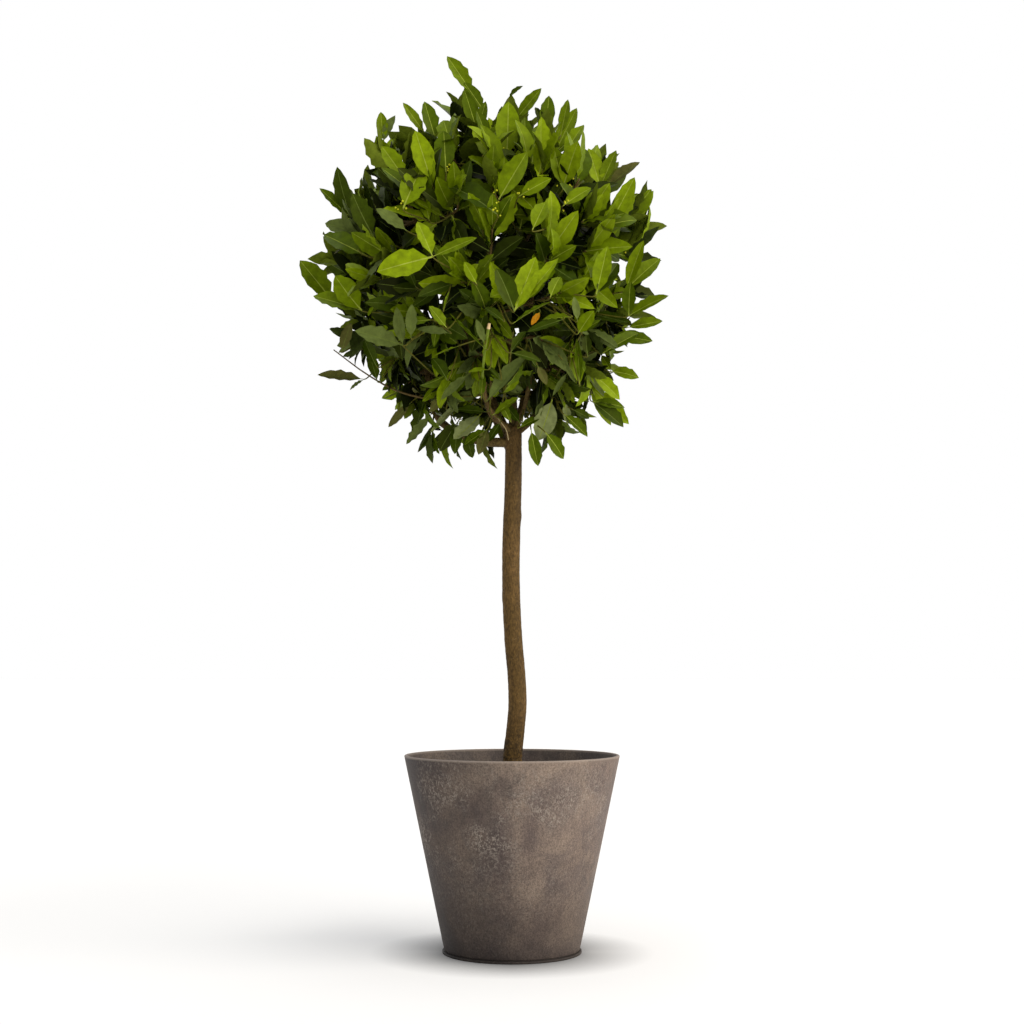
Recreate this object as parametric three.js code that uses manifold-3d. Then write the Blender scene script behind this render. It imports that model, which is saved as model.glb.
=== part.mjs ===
// A standard bay tree in its planter: a round, clipped crown on a clear stem, in a tapered round pot.
// Millimetres, +Z up. The origin is the centre of the pot's flat underside.

import * as THREE from 'three';
import { mergeVertices } from 'three/addons/utils/BufferGeometryUtils.js';
import Module from 'manifold-3d';

const wasm = await Module();
wasm.setup();

// ---------------------------------------------------------------- driving dimensions

const GAP = 0.3; // clearance between pieces that meet
const FINEST_EDGE = 0.02;

const POT = {
  height: 330,
  rimRadius: 183.4,
  footRadius: 117.6,
  footHeight: 4,
  grooveHeight: 2,
  grooveDepth: 2.6,
  wall: 8,
  floor: 14,
  lip: 4,
  flare: 0.2128, // how far the wall leans out for each millimetre of height
  sides: 40,
};

const SOIL = { top: 282, edgeDrop: 5, edgeWidth: 6 };

// The trunk's centre line: height, shift to the right, shift to the back. It starts under the soil's
// surface, where the trunk is cut off flat.
const TRUNK_LINE = [
  [262, -2, 0],
  [300, -0.5, 0],
  [338, 2, 0],
  [372, 6, 1],
  [414, 9.4, 2],
  [460, 8.2, 3],
  [525, 2.6, 3],
  [600, -1, 1],
  [690, -1.2, -1],
  [801, 2.4, 0],
  [893, 2.6, 2],
];
const TRUNK = { radius: 16.2, topRadius: 13, flare: 24, flareHeight: 28, lobes: 5, lobeDepth: 6 };

const CROWN = { centre: new THREE.Vector3(-42, 0, 1163), radius: 300 };

// One bough to each mass of foliage: the points it runs through from inside the trunk, right, back and
// up, and its radius at each end. It ends at its mass's hub.
const BOUGHS = {
  top: { line: [[2.6, 2, 888], [1, 3, 950], [-6, 2, 1060]], radii: [8, 5.5] },
  right_back: { line: [[5, 6, 880], [16, 22, 930], [34, 50, 1040]], radii: [6.5, 4.5] },
  left_back: { line: [[-3, 8, 872], [-20, 28, 915], [-74, 52, 1030]], radii: [7, 4.5] },
  left_front: { line: [[-2, -4, 876], [-36, -18, 912], [-60, -48, 1020]], radii: [7, 4.5] },
  right_front: { line: [[6, -3, 884], [22, -22, 925], [36, -52, 1040]], radii: [6.5, 4.5] },
  right: { line: [[8, 1, 868], [44, 3, 912], [60, 4, 950]], radii: [5.5, 4] },
  back: { line: [[-1, 10, 846], [-12, 50, 872], [-34, 88, 930]], radii: [6, 4.2] },
  left: { line: [[-8, 3, 858], [-62, 14, 866], [-126, 16, 910]], radii: [7.5, 5] },
  front: { line: [[1, -8, 852], [-6, -46, 872], [-34, -84, 925]], radii: [6, 4.2] },
};

// The masses: one on top and two rings of four. Each faces out from the crown's centre at its ring's
// tilt, and its hub, where its stem starts, lies so far out from the centre line and so far up.
const TOP = { tilt: 90, out: 0, up: 66, turns: [0], names: ['top'] };
const UPPER_RING = {
  tilt: 20,
  out: 95,
  up: 36,
  turns: [45, 135, 225, 315],
  names: ['right_back', 'left_back', 'left_front', 'right_front'],
};
const LOWER_RING = {
  tilt: -35,
  out: 105,
  up: -178,
  turns: [0, 90, 180, 270],
  names: ['right', 'back', 'left', 'front'],
};
const STEM = { reach: 0.62, tipRadius: 3, bend: 0.35 };
const CORE = { reach: 0.55, across: 102, deep: 62, roughness: 0.1 };

const SHOOTS = {
  seed: 418,
  count: 80,
  reach: 242,
  spread: 0.1, // how much longer or shorter one shoot is than another
  radii: [2.9, 1.7],
  steps: 3,
  wander: 0.4, // radians that a tip may stray sideways
  leaves: [0.12, 0.95], // the stretch of the stem that shoots spring from
  pullBack: 0.6,
  lift: 0.35, // how much a shoot's end turns up, on all but the lowest
};

// Shoots that stand proud and give the crown its outline: the angle in the front view, counted from
// the right, the shoot's reach, and how far it leans to the back.
const LEADING_SHOOTS = [
  { name: 'top', angle: 100, reach: 292, back: 10 },
  { name: 'top_right', angle: 80, reach: 252, back: -20 },
  { name: 'shoulder_right', angle: 62, reach: 252, back: 15 },
  { name: 'upper_right', angle: 38, reach: 246, back: -10 },
  { name: 'right_low', angle: -16, reach: 232, back: 5 },
  { name: 'hip_right', angle: -48, reach: 268, back: 0 },
  { name: 'skirt_right', angle: -76, reach: 258, back: -15 },
  { name: 'skirt_left', angle: -98, reach: 232, back: -20 },
  { name: 'bare_twig', angle: 211, reach: 264, back: 0 },
  { name: 'left_low', angle: 177, reach: 240, back: -10 },
  { name: 'upper_left', angle: 153, reach: 242, back: 10 },
  { name: 'shoulder_left', angle: 124, reach: 252, back: -15 },
];

const LEAF = {
  length: 114,
  shortest: 0.86,
  longest: 1.08,
  width: 50,
  thickness: 2.2,
  fold: 5,
  root: 0.8, // how far a leaf's foot runs past the middle of its twig
  faceUp: 0.35,
  open: [76, 36], // degrees off the shoot's line, from the lowest leaf to the last
  perShoot: 6,
  firstAt: 0.62,
  attempts: 8,
  nextTry: 43, // degrees further round the shoot
};
const GOLDEN_ANGLE = Math.PI * (3 - Math.sqrt(5));
const UP = new THREE.Vector3(0, 0, 1);
const CELL_MARGIN = 1; // how far everything in a mass stays from the walls of its space
const LIMB_MARGIN = 2; // how far leaves and twigs stay from the limbs

const COLOURS = { pot: 0x7a6a60, soil: 0x33271d, bark: 0x6b5536, foliage: 0x4c5a16 };

// ---------------------------------------------------------------- small helpers

const radians = THREE.MathUtils.degToRad;

function vector(list) {
  return new THREE.Vector3(...list);
}

// A linear congruential generator: the same seed always gives the same plant.
function seededRandom(seed) {
  let state = seed;
  return () => {
    state = (1664525 * state + 1013904223) % 4294967296;
    return state / 4294967296;
  };
}

function welded(geometry) {
  geometry.deleteAttribute('normal');
  geometry.deleteAttribute('uv');
  return mergeVertices(geometry, 1e-4);
}

function toSolid(geometry) {
  const shape = welded(geometry);
  return new wasm.Manifold(new wasm.Mesh({
    numProp: 3,
    vertProperties: new Float32Array(shape.attributes.position.array),
    triVerts: new Uint32Array(shape.index.array),
  }));
}

function join(solids) {
  return wasm.Manifold.union(solids);
}

// The largest closed body, with hair-fine edges closed up: loose scraps go, and a hollow that joining
// has sealed is filled.
function soundBody(solid) {
  const pieces = solid.simplify(FINEST_EDGE).decompose();
  return pieces.reduce((best, piece) => (piece.volume() > best.volume() ? piece : best));
}

function toMesh(name, solid, colour) {
  const { vertProperties, triVerts } = soundBody(solid).getMesh();
  const geometry = new THREE.BufferGeometry();
  geometry.setAttribute('position', new THREE.BufferAttribute(vertProperties, 3));
  geometry.setIndex(new THREE.BufferAttribute(triVerts, 1));
  geometry.computeVertexNormals();
  const material = new THREE.MeshStandardMaterial({ color: colour, roughness: 0.75, metalness: 0 });
  const mesh = new THREE.Mesh(geometry, material);
  mesh.name = name;
  return mesh;
}

// Two directions square to a way of travel.
function squareTo(direction) {
  const helper = Math.abs(direction.z) > 0.9 ? new THREE.Vector3(1, 0, 0) : UP;
  const side = new THREE.Vector3().crossVectors(direction, helper).normalize();
  const other = new THREE.Vector3().crossVectors(direction, side).normalize();
  return [side, other];
}

// A round limb along a curve: a cylinder blank whose rings are carried to the curve one by one.
// radiusAt(along, around) gives the radius, so that a limb can taper, flare and swell, and
// lengthen moves both of its ends outwards.
function limbBlank(curve, radiusAt, sides, steps, lengthen = 0) {
  const blank = welded(new THREE.CylinderGeometry(1, 1, 1, sides, steps));
  const position = blank.attributes.position;
  let side = squareTo(curve.getTangent(0))[0];
  const frames = [];
  for (let step = 0; step <= steps; step += 1) {
    const tangent = curve.getTangent(step / steps);
    side = side.clone().addScaledVector(tangent, -side.dot(tangent)).normalize();
    const centre = curve.getPoint(step / steps);
    if (step === 0) centre.addScaledVector(tangent, -lengthen);
    if (step === steps) centre.addScaledVector(tangent, lengthen);
    frames.push({ centre, side, other: new THREE.Vector3().crossVectors(tangent, side) });
  }
  for (let i = 0; i < position.count; i += 1) {
    const step = Math.round((position.getY(i) + 0.5) * steps);
    const along = step / steps;
    const x = position.getX(i);
    const z = position.getZ(i);
    const radius = radiusAt(along, Math.atan2(z, x));
    const { centre, side: right, other } = frames[step];
    const place = centre.clone().addScaledVector(right, -x * radius).addScaledVector(other, z * radius);
    position.setXYZ(i, place.x, place.y, place.z);
  }
  return blank;
}

function tapered([from, to]) {
  return (along) => from + (to - from) * along;
}

// ---------------------------------------------------------------- pot and soil

function potRadius(height) {
  const bodyFoot = POT.footHeight + POT.grooveHeight;
  return POT.rimRadius - (POT.height - POT.lip - Math.max(height, bodyFoot)) * POT.flare;
}

// A thin-walled pot with a foot ring, a narrow groove over it, straight flared walls and a round lip.
function pot() {
  const bodyFoot = POT.footHeight + POT.grooveHeight;
  const grooveRadius = potRadius(bodyFoot) - POT.grooveDepth;
  const lipCentre = POT.rimRadius - POT.lip;
  const profile = [
    [0, 0],
    [POT.footRadius - 1, 0],
    [POT.footRadius, 1],
    [POT.footRadius, POT.footHeight - 0.6],
    [grooveRadius, POT.footHeight],
    [grooveRadius, bodyFoot - 0.6],
    [potRadius(bodyFoot), bodyFoot],
  ];
  for (let degree = 0; degree <= 180; degree += 45) {
    const turn = radians(degree);
    profile.push([lipCentre + POT.lip * Math.cos(turn), POT.height - POT.lip + POT.lip * Math.sin(turn)]);
  }
  profile.push([potRadius(POT.floor) - POT.wall, POT.floor]);
  profile.push([0, POT.floor]);
  const points = profile.map(([radius, height]) => new THREE.Vector2(radius, height));
  const shell = new THREE.LatheGeometry(points, POT.sides);
  shell.rotateX(Math.PI / 2);
  return toSolid(shell);
}

// The compost that fills the pot, flat on top, a hair clear of the pot's floor and wall.
function soil() {
  const inside = (height) => potRadius(height) - POT.wall - GAP;
  const bottom = POT.floor + GAP;
  const profile = [
    [0, bottom],
    [inside(bottom), bottom],
    [inside(SOIL.top - SOIL.edgeDrop), SOIL.top - SOIL.edgeDrop],
    [inside(SOIL.top) - SOIL.edgeWidth, SOIL.top],
    [0, SOIL.top],
  ];
  const points = profile.map(([radius, height]) => new THREE.Vector2(radius, height));
  const fill = new THREE.LatheGeometry(points, POT.sides);
  fill.rotateX(Math.PI / 2);
  return toSolid(fill);
}

// ---------------------------------------------------------------- trunk and boughs

const trunkCurve = new THREE.CatmullRomCurve3(
  TRUNK_LINE.map(([height, right, back]) => new THREE.Vector3(right, back, height)),
);

// The trunk narrows slowly, and swells into lobed root buttresses just over the soil.
function trunkRadius(grow) {
  const height = TRUNK_LINE.at(-1)[0] - TRUNK_LINE[0][0];
  return (along, around) => {
    const flare = Math.exp((-along * height) / TRUNK.flareHeight);
    const lobe = 0.5 + 0.5 * Math.cos(TRUNK.lobes * around);
    const swell = flare * (TRUNK.flare + TRUNK.lobeDepth * (lobe - 0.5) * 2);
    const body = TRUNK.radius + (TRUNK.topRadius - TRUNK.radius) * along ** 3;
    return body + swell + grow;
  };
}

function trunk(grow = 0) {
  const whole = toSolid(limbBlank(trunkCurve, trunkRadius(grow), 18, 20, grow));
  const depth = 80;
  const underground = new THREE.BoxGeometry(200, 200, depth);
  underground.translate(0, 0, SOIL.top + GAP - depth / 2);
  return whole.subtract(toSolid(underground));
}

function boughSolid(mass, grow = 0) {
  const radii = mass.radii.map((radius) => radius + grow);
  return toSolid(limbBlank(mass.limb, tapered(radii), 8, 7));
}

// ---------------------------------------------------------------- the masses of foliage

function facing(azimuth, tilt) {
  const level = Math.cos(radians(tilt));
  const turn = radians(azimuth);
  return new THREE.Vector3(level * Math.cos(turn), level * Math.sin(turn), Math.sin(radians(tilt)));
}

function massesIn({ tilt, out, up, turns, names }) {
  return names.map((name, i) => {
    const hub = facing(turns[i], 0).multiplyScalar(out).add(new THREE.Vector3(0, 0, up));
    hub.add(CROWN.centre);
    const bough = BOUGHS[name];
    const limb = new THREE.CatmullRomCurve3([...bough.line.map(vector), hub]);
    return { name, axis: facing(turns[i], tilt), hub, radii: bough.radii, limb };
  });
}

const masses = [TOP, UPPER_RING, LOWER_RING].flatMap(massesIn);

// True where a point lies in its mass's space: nearer that mass's axis than any other's.
function insideCell(mass, point) {
  const offset = point.clone().sub(CROWN.centre);
  return masses.every((other) => {
    if (other === mass) return true;
    const wall = mass.axis.clone().sub(other.axis).normalize();
    return offset.dot(wall) > CELL_MARGIN;
  });
}

// The end of every shoot: spread evenly over the ball, each one a little longer or shorter.
function shootTips() {
  const random = seededRandom(SHOOTS.seed);
  const tips = [];
  for (let i = 0; i < SHOOTS.count; i += 1) {
    const rise = 1 - (2 * (i + 0.5)) / SHOOTS.count;
    const turn = i * GOLDEN_ANGLE + SHOOTS.wander * (random() - 0.5);
    const level = Math.sqrt(1 - rise * rise);
    const direction = new THREE.Vector3(level * Math.cos(turn), level * Math.sin(turn), rise);
    tips.push({ direction, reach: SHOOTS.reach * (1 + SHOOTS.spread * (random() - 0.6)) });
  }
  LEADING_SHOOTS.forEach(({ angle, reach, back }) => {
    const turn = radians(angle);
    const direction = new THREE.Vector3(Math.cos(turn), back / reach, Math.sin(turn)).normalize();
    tips.push({ direction, reach });
  });
  return tips;
}

function ownerOf(direction) {
  return masses.reduce((best, mass) => (
    mass.axis.dot(direction) > best.axis.dot(direction) ? mass : best));
}

// The stem of a mass carries on from its bough's cut end, a hair clear, and turns to the mass's axis.
function stemCurve(mass) {
  const heading = mass.limb.getTangent(1);
  const start = mass.hub.clone().addScaledVector(heading, GAP);
  const end = CROWN.centre.clone().addScaledVector(mass.axis, STEM.reach * CROWN.radius);
  const length = start.distanceTo(end);
  const early = start.clone().addScaledVector(heading, STEM.bend * length);
  const late = end.clone().addScaledVector(mass.axis, -STEM.bend * length);
  return new THREE.CubicBezierCurve3(start, early, late, end);
}

// A shoot leaves its stem behind the place square to its tip, and turns up a little at the end.
function shootCurve(mass, stem, tip) {
  const end = CROWN.centre.clone().addScaledVector(tip.direction, tip.reach);
  const run = stem.v3.clone().sub(stem.v0);
  const square = end.clone().sub(stem.v0).dot(run) / run.lengthSq();
  const leave = THREE.MathUtils.clamp(SHOOTS.pullBack * square, ...SHOOTS.leaves);
  const start = stem.getPoint(leave);
  const length = start.distanceTo(end);
  const lift = tip.direction.z > -0.5 ? SHOOTS.lift : 0;
  const heading = tip.direction.clone().addScaledVector(UP, lift).normalize();
  const early = start.clone().lerp(end, 0.35).addScaledVector(mass.axis, 0.06 * length);
  const late = end.clone().addScaledVector(heading, -0.3 * length);
  return new THREE.CubicBezierCurve3(start, early, late, end);
}

// A leaf is a flat eight-sided blank, folded a little along its midrib.
function leafBlank({ root, along, face, length }) {
  const blank = welded(new THREE.OctahedronGeometry(1, 0));
  const position = blank.attributes.position;
  const across = new THREE.Vector3().crossVectors(face, along);
  for (let i = 0; i < position.count; i += 1) {
    const far = position.getX(i);
    const wide = position.getY(i);
    const thick = position.getZ(i);
    const place = root.clone();
    place.addScaledVector(along, -LEAF.root + (far + 1) * 0.5 * (length + LEAF.root));
    place.addScaledVector(across, wide * LEAF.width * 0.5);
    place.addScaledVector(face, thick * LEAF.thickness * 0.5 + Math.abs(wide) * LEAF.fold);
    position.setXYZ(i, place.x, place.y, place.z);
  }
  return blank;
}

// The middle of a stepped limb, part of the way along it.
function middleOf(curve, steps, at) {
  const step = Math.min(Math.floor(at * steps), steps - 1);
  return curve.getPoint(step / steps).lerp(curve.getPoint((step + 1) / steps), at * steps - step);
}

// A leaf part of the way along a shoot, turned round it, and closer to its line near the tip.
function leafOn(curve, share, turn, length) {
  const at = LEAF.firstAt + (0.99 - LEAF.firstAt) * share;
  const heading = curve.getTangent(at);
  const [side, other] = squareTo(heading);
  const out = side.multiplyScalar(Math.cos(turn)).addScaledVector(other, Math.sin(turn));
  const open = radians(LEAF.open[0] + (LEAF.open[1] - LEAF.open[0]) * share);
  const along = heading.clone().multiplyScalar(Math.cos(open)).addScaledVector(out, Math.sin(open));
  const face = heading.clone().addScaledVector(UP, LEAF.faceUp);
  face.addScaledVector(along, -face.dot(along)).normalize();
  return leafBlank({ root: middleOf(curve, SHOOTS.steps, at), along, face, length });
}

// Leaves stand round a shoot in a golden-angle spiral. One that would cut its space, a limb or
// another leaf is tried a little further round, and left out if that doesn't help.
function addLeaves(curve, random, isClear, others, leaves) {
  const start = 2 * Math.PI * random();
  for (let i = 0; i < LEAF.perShoot; i += 1) {
    const length = LEAF.length * (LEAF.shortest + (LEAF.longest - LEAF.shortest) * random());
    for (let attempt = 0; attempt < LEAF.attempts; attempt += 1) {
      const turn = start + i * GOLDEN_ANGLE + attempt * radians(LEAF.nextTry);
      const blank = leafOn(curve, i / (LEAF.perShoot - 1), turn, length);
      const leaf = isClear(blank) && toSolid(blank);
      if (leaf && [...others, ...leaves].every((other) => leaf.intersect(other).isEmpty())) {
        leaves.push(leaf);
        break;
      }
    }
  }
}

function cornersOf(geometry) {
  const position = geometry.attributes.position;
  return Array.from({ length: position.count }, (_, i) => (
    new THREE.Vector3().fromBufferAttribute(position, i)));
}

function core(mass, random) {
  const blank = welded(new THREE.IcosahedronGeometry(1, 1));
  const position = blank.attributes.position;
  const [side, other] = squareTo(mass.axis);
  const centre = CROWN.centre.clone().addScaledVector(mass.axis, CORE.reach * CROWN.radius);
  for (let i = 0; i < position.count; i += 1) {
    const lump = 1 - CORE.roughness * random();
    const place = centre.clone();
    place.addScaledVector(side, position.getX(i) * CORE.across * lump);
    place.addScaledVector(other, position.getY(i) * CORE.across * lump);
    place.addScaledVector(mass.axis, position.getZ(i) * CORE.deep * lump);
    position.setXYZ(i, place.x, place.y, place.z);
  }
  return blank;
}

function massSolid(mass, tips, limbs, cutLimbs) {
  const random = seededRandom(SHOOTS.seed + 1 + masses.indexOf(mass));
  const stem = stemCurve(mass);
  const stemRadii = [mass.radii[1], STEM.tipRadius];
  const stemSolid = toSolid(limbBlank(stem, tapered(stemRadii), 6, 3));
  const isClear = (blank) => (
    cornersOf(blank).every((corner) => insideCell(mass, corner)) &&
    toSolid(blank.clone()).intersect(limbs).isEmpty());
  const shoots = tips
    .filter((tip) => ownerOf(tip.direction) === mass)
    .map((tip) => shootCurve(mass, stem, tip))
    .map((curve) => ({ curve, blank: limbBlank(curve, tapered(SHOOTS.radii), 3, SHOOTS.steps) }))
    .filter(({ blank }) => isClear(blank))
    .map(({ curve, blank }) => ({ curve, solid: toSolid(blank) }));
  const leaves = [];
  shoots.forEach(({ curve, solid }) => {
    const others = shoots.filter((shoot) => shoot.solid !== solid).map((shoot) => shoot.solid);
    addLeaves(curve, random, isClear, [...others], leaves);
  });
  const twigs = shoots.map((shoot) => shoot.solid);
  return join([stemSolid, toSolid(core(mass, random)), ...twigs, ...leaves]).subtract(cutLimbs);
}

// ---------------------------------------------------------------- the whole plant

const plant = new THREE.Group();
plant.add(toMesh('pot', pot(), COLOURS.pot));
plant.add(toMesh('soil', soil(), COLOURS.soil));
plant.add(toMesh('trunk', trunk(), COLOURS.bark));

const taken = [trunk(GAP)];
masses.forEach((mass) => {
  plant.add(toMesh(`bough_${mass.name}`, boughSolid(mass).subtract(join(taken)), COLOURS.bark));
  taken.push(boughSolid(mass, GAP));
});

const limbsGrownBy = (grow) => join([trunk(grow), ...masses.map((mass) => boughSolid(mass, grow))]);
const wideLimbs = limbsGrownBy(LIMB_MARGIN);
const cutLimbs = limbsGrownBy(GAP);
const tips = shootTips();
masses.forEach((mass) => {
  plant.add(toMesh(`foliage_${mass.name}`, massSolid(mass, tips, wideLimbs, cutLimbs), COLOURS.foliage));
});

export default plant;
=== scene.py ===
# %% [markdown]
# # A standard bay tree in its planter
#
# A bay grown as a standard is a shrub trained like a small tree: one clear trunk, a fork, a few boughs
# and a round head that is clipped once or twice a year. Here it stands in a tapered, stone-effect
# planter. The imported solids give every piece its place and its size. This file dresses them: it makes
# the planter, the compost, the bark, and a crown of some two and a half thousand leaves, which grow by
# the same seeded rule as the solids do.

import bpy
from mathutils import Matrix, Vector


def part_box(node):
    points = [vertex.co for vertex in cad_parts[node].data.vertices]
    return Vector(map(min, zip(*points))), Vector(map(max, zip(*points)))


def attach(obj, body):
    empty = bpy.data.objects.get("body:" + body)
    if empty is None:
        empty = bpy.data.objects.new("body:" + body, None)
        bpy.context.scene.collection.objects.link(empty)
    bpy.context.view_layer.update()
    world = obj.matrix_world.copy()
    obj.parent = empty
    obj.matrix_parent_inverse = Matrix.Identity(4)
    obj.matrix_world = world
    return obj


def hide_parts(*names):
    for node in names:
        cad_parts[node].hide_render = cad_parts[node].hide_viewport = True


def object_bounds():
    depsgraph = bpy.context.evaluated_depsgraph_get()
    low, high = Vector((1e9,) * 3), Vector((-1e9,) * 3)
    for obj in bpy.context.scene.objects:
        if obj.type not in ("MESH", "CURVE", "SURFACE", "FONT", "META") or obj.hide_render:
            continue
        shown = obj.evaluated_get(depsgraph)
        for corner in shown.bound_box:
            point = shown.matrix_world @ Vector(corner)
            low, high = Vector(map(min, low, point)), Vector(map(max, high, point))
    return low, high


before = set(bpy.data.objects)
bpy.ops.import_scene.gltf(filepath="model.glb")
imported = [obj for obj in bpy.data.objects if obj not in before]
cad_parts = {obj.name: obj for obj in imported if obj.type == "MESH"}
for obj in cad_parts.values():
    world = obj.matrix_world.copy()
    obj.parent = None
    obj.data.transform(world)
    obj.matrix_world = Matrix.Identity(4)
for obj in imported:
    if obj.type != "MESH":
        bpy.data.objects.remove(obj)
cad_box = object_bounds()
print("solids:", len(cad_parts), "box:", [round(v, 3) for corner in cad_box for v in corner])

# %% Tools
import math
import random

import bmesh
import bpy
import numpy as np
from mathutils import Vector, noise

MM = 0.001
FULL_TURN = 2 * math.pi
GOLDEN_ANGLE = math.pi * (3 - math.sqrt(5))
UP = np.array([0.0, 0.0, 1.0])

# %% [markdown]
# ## Small helpers
#
# A finished piece keeps its place in its mesh, so its object stays at the origin. One helper turns a
# bmesh into such an object, rides it on the plant's one body, and hides the solids that it stands for.


# %% Keep a piece
def keep(name, mesh, materials, replaces=()):
    for material in materials:
        mesh.materials.append(material)
    piece = bpy.data.objects.new(name, mesh)
    bpy.context.scene.collection.objects.link(piece)
    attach(piece, "root")
    if replaces:
        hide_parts(*replaces)
    print(f"{name}: {len(mesh.polygons)} faces")
    return piece


def mesh_of(name, bm, smooth=True):
    mesh = bpy.data.meshes.new(name)
    bm.to_mesh(mesh)
    bm.free()
    mesh.polygons.foreach_set("use_smooth", [smooth] * len(mesh.polygons))
    return mesh


def metres(rows):
    """Points given in millimetres."""
    return [np.array(row) * MM for row in rows]


def unit(v):
    v = np.asarray(v, float)
    return v / np.linalg.norm(v, axis=-1, keepdims=True)


# %% [markdown]
# ## Materials
#
# Every finish is built from nodes. A few short helpers keep the recipes readable: `new_finish` starts
# a material, `noise_of` gives a noise in object coordinates, `ramp` turns a number into a colour,
# `overlay`, `times` and `painted` lay one colour over another, and `bump` raises the surface. A grey is
# written as one number. The gloss of each finish is one plain number on the shader.


# %% Node helpers
def new_finish(name, colour, roughness, specular=0.5):
    material = bpy.data.materials.new(name)
    material.use_nodes = True
    shader = material.node_tree.nodes["Principled BSDF"]
    shader.inputs["Base Color"].default_value = (*colour, 1)
    shader.inputs["Roughness"].default_value = roughness
    shader.inputs["Specular IOR Level"].default_value = specular
    return material, material.node_tree, shader


def node(tree, kind, **settings):
    made = tree.nodes.new(kind)
    for key, value in settings.items():
        setattr(made, key, value)
    return made


# %% Places and noise
def coordinates(tree, scale=(1, 1, 1), shift=(0, 0, 0)):
    mapping = node(tree, "ShaderNodeMapping")
    mapping.inputs["Scale"].default_value = scale
    mapping.inputs["Location"].default_value = shift
    tree.links.new(node(tree, "ShaderNodeTexCoord").outputs["Object"], mapping.inputs["Vector"])
    return mapping.outputs["Vector"]


def place_in(tree):
    """The X, Y and Z of each point of a piece."""
    place = node(tree, "ShaderNodeSeparateXYZ")
    tree.links.new(coordinates(tree), place.inputs["Vector"])
    return place.outputs


def noise_of(tree, scale, detail=3.0, rough=0.5, distortion=0.0, vector=None):
    made = node(tree, "ShaderNodeTexNoise")
    made.inputs["Scale"].default_value = scale
    made.inputs["Detail"].default_value = detail
    made.inputs["Roughness"].default_value = rough
    made.inputs["Distortion"].default_value = distortion
    tree.links.new(coordinates(tree) if vector is None else vector, made.inputs["Vector"])
    return made.outputs["Fac"]


# %% Colours
def grey(level):
    return (level, level, level)


def toned(share, colour):
    return tuple(share * part for part in colour)


def ramp(tree, value, stops):
    """Each stop is a place from 0 to 1 and a colour, or a grey's level."""
    made = node(tree, "ShaderNodeValToRGB")
    elements = made.color_ramp.elements
    while len(elements) < len(stops):
        elements.new(0.5)
    for element, (position, colour) in zip(elements, stops):
        element.position = position
        element.color = (*(colour if isinstance(colour, tuple) else grey(colour)), 1)
    tree.links.new(value, made.inputs["Fac"])
    return made.outputs["Color"]


# %% Mixing
def fill(tree, socket, value):
    """Feeds a socket from another node, or gives it a number or a colour."""
    if isinstance(value, bpy.types.NodeSocket):
        tree.links.new(value, socket)
    else:
        socket.default_value = (*value, 1) if isinstance(value, tuple) else value


def mix(tree, share, first, second, blend="MIX"):
    made = node(tree, "ShaderNodeMix", data_type="RGBA", blend_type=blend)
    for number, value in ((0, share), (6, first), (7, second)):
        fill(tree, made.inputs[number], value)
    return made.outputs[2]


def maths(tree, operation, first, second=0.0):
    made = node(tree, "ShaderNodeMath", operation=operation)
    fill(tree, made.inputs[0], first)
    fill(tree, made.inputs[1], second)
    return made.outputs["Value"]


def times(tree, first, second):
    return mix(tree, 1.0, first, second, "MULTIPLY")


def overlay(tree, share, colour, value, low, high):
    """Darkens and lightens a colour by a value, between a low stop and a high one."""
    return mix(tree, share, colour, ramp(tree, value, [low, high]), "OVERLAY")


def painted(tree, colour, marks, share, tone):
    """Marks in a tone of their own, laid over a colour with part of their strength."""
    return mix(tree, maths(tree, "MULTIPLY", marks, share), colour, tone)


def bump(tree, shader, height, distance, strength=1.0):
    made = node(tree, "ShaderNodeBump")
    made.inputs["Distance"].default_value = distance
    made.inputs["Strength"].default_value = strength
    tree.links.new(height, made.inputs["Height"])
    tree.links.new(made.outputs["Normal"], shader.inputs["Normal"])


# %% [markdown]
# ## The planter
#
# The real planter is moulded in one piece from a stone-filled plastic: a thin wall, a small rounded
# lip, and a foot ring with a narrow shadow groove over it. A turned shape like this could be a stack
# of cylinders, but one profile spun about the centre line gives the same clean lip and groove as the
# mould does. The profile is worked out from the solid's own box.

# %% Planter measures
POT_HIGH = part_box("pot")[1]
RIM_RADIUS = POT_HIGH.x
RIM_HEIGHT = POT_HIGH.z
LIP = 1.9 * MM
WALL = 8.0 * MM
RIM_WALL = 5.0 * MM
RIM_DEPTH = 40.0 * MM
FLARE = 0.2128
FOOT_RADIUS = 117.6 * MM
FOOT_HEIGHT = 4.0 * MM
GROOVE = 2.0 * MM
GROOVE_DEPTH = 2.6 * MM
POT_FLOOR = 14.0 * MM
SPIN_STEPS = 160


def wall_radius(height):
    """The planter's outer radius at a height above the ground."""
    return RIM_RADIUS - (RIM_HEIGHT - LIP - height) * FLARE


def inner_radius(height):
    """The inner radius: the wall is thin at the rim and thickens below it."""
    down = min((RIM_HEIGHT - height) / RIM_DEPTH, 1.0)
    return wall_radius(height) - RIM_WALL - (WALL - RIM_WALL) * down


# %% Planter profile
def arc(centre, radius, start, end, steps):
    """Points on part of a circle in the profile's plane, angles in degrees."""
    angles = np.radians(np.linspace(start, end, steps + 1))
    return [(centre[0] + radius * math.cos(a), centre[1] + radius * math.sin(a)) for a in angles]


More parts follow.
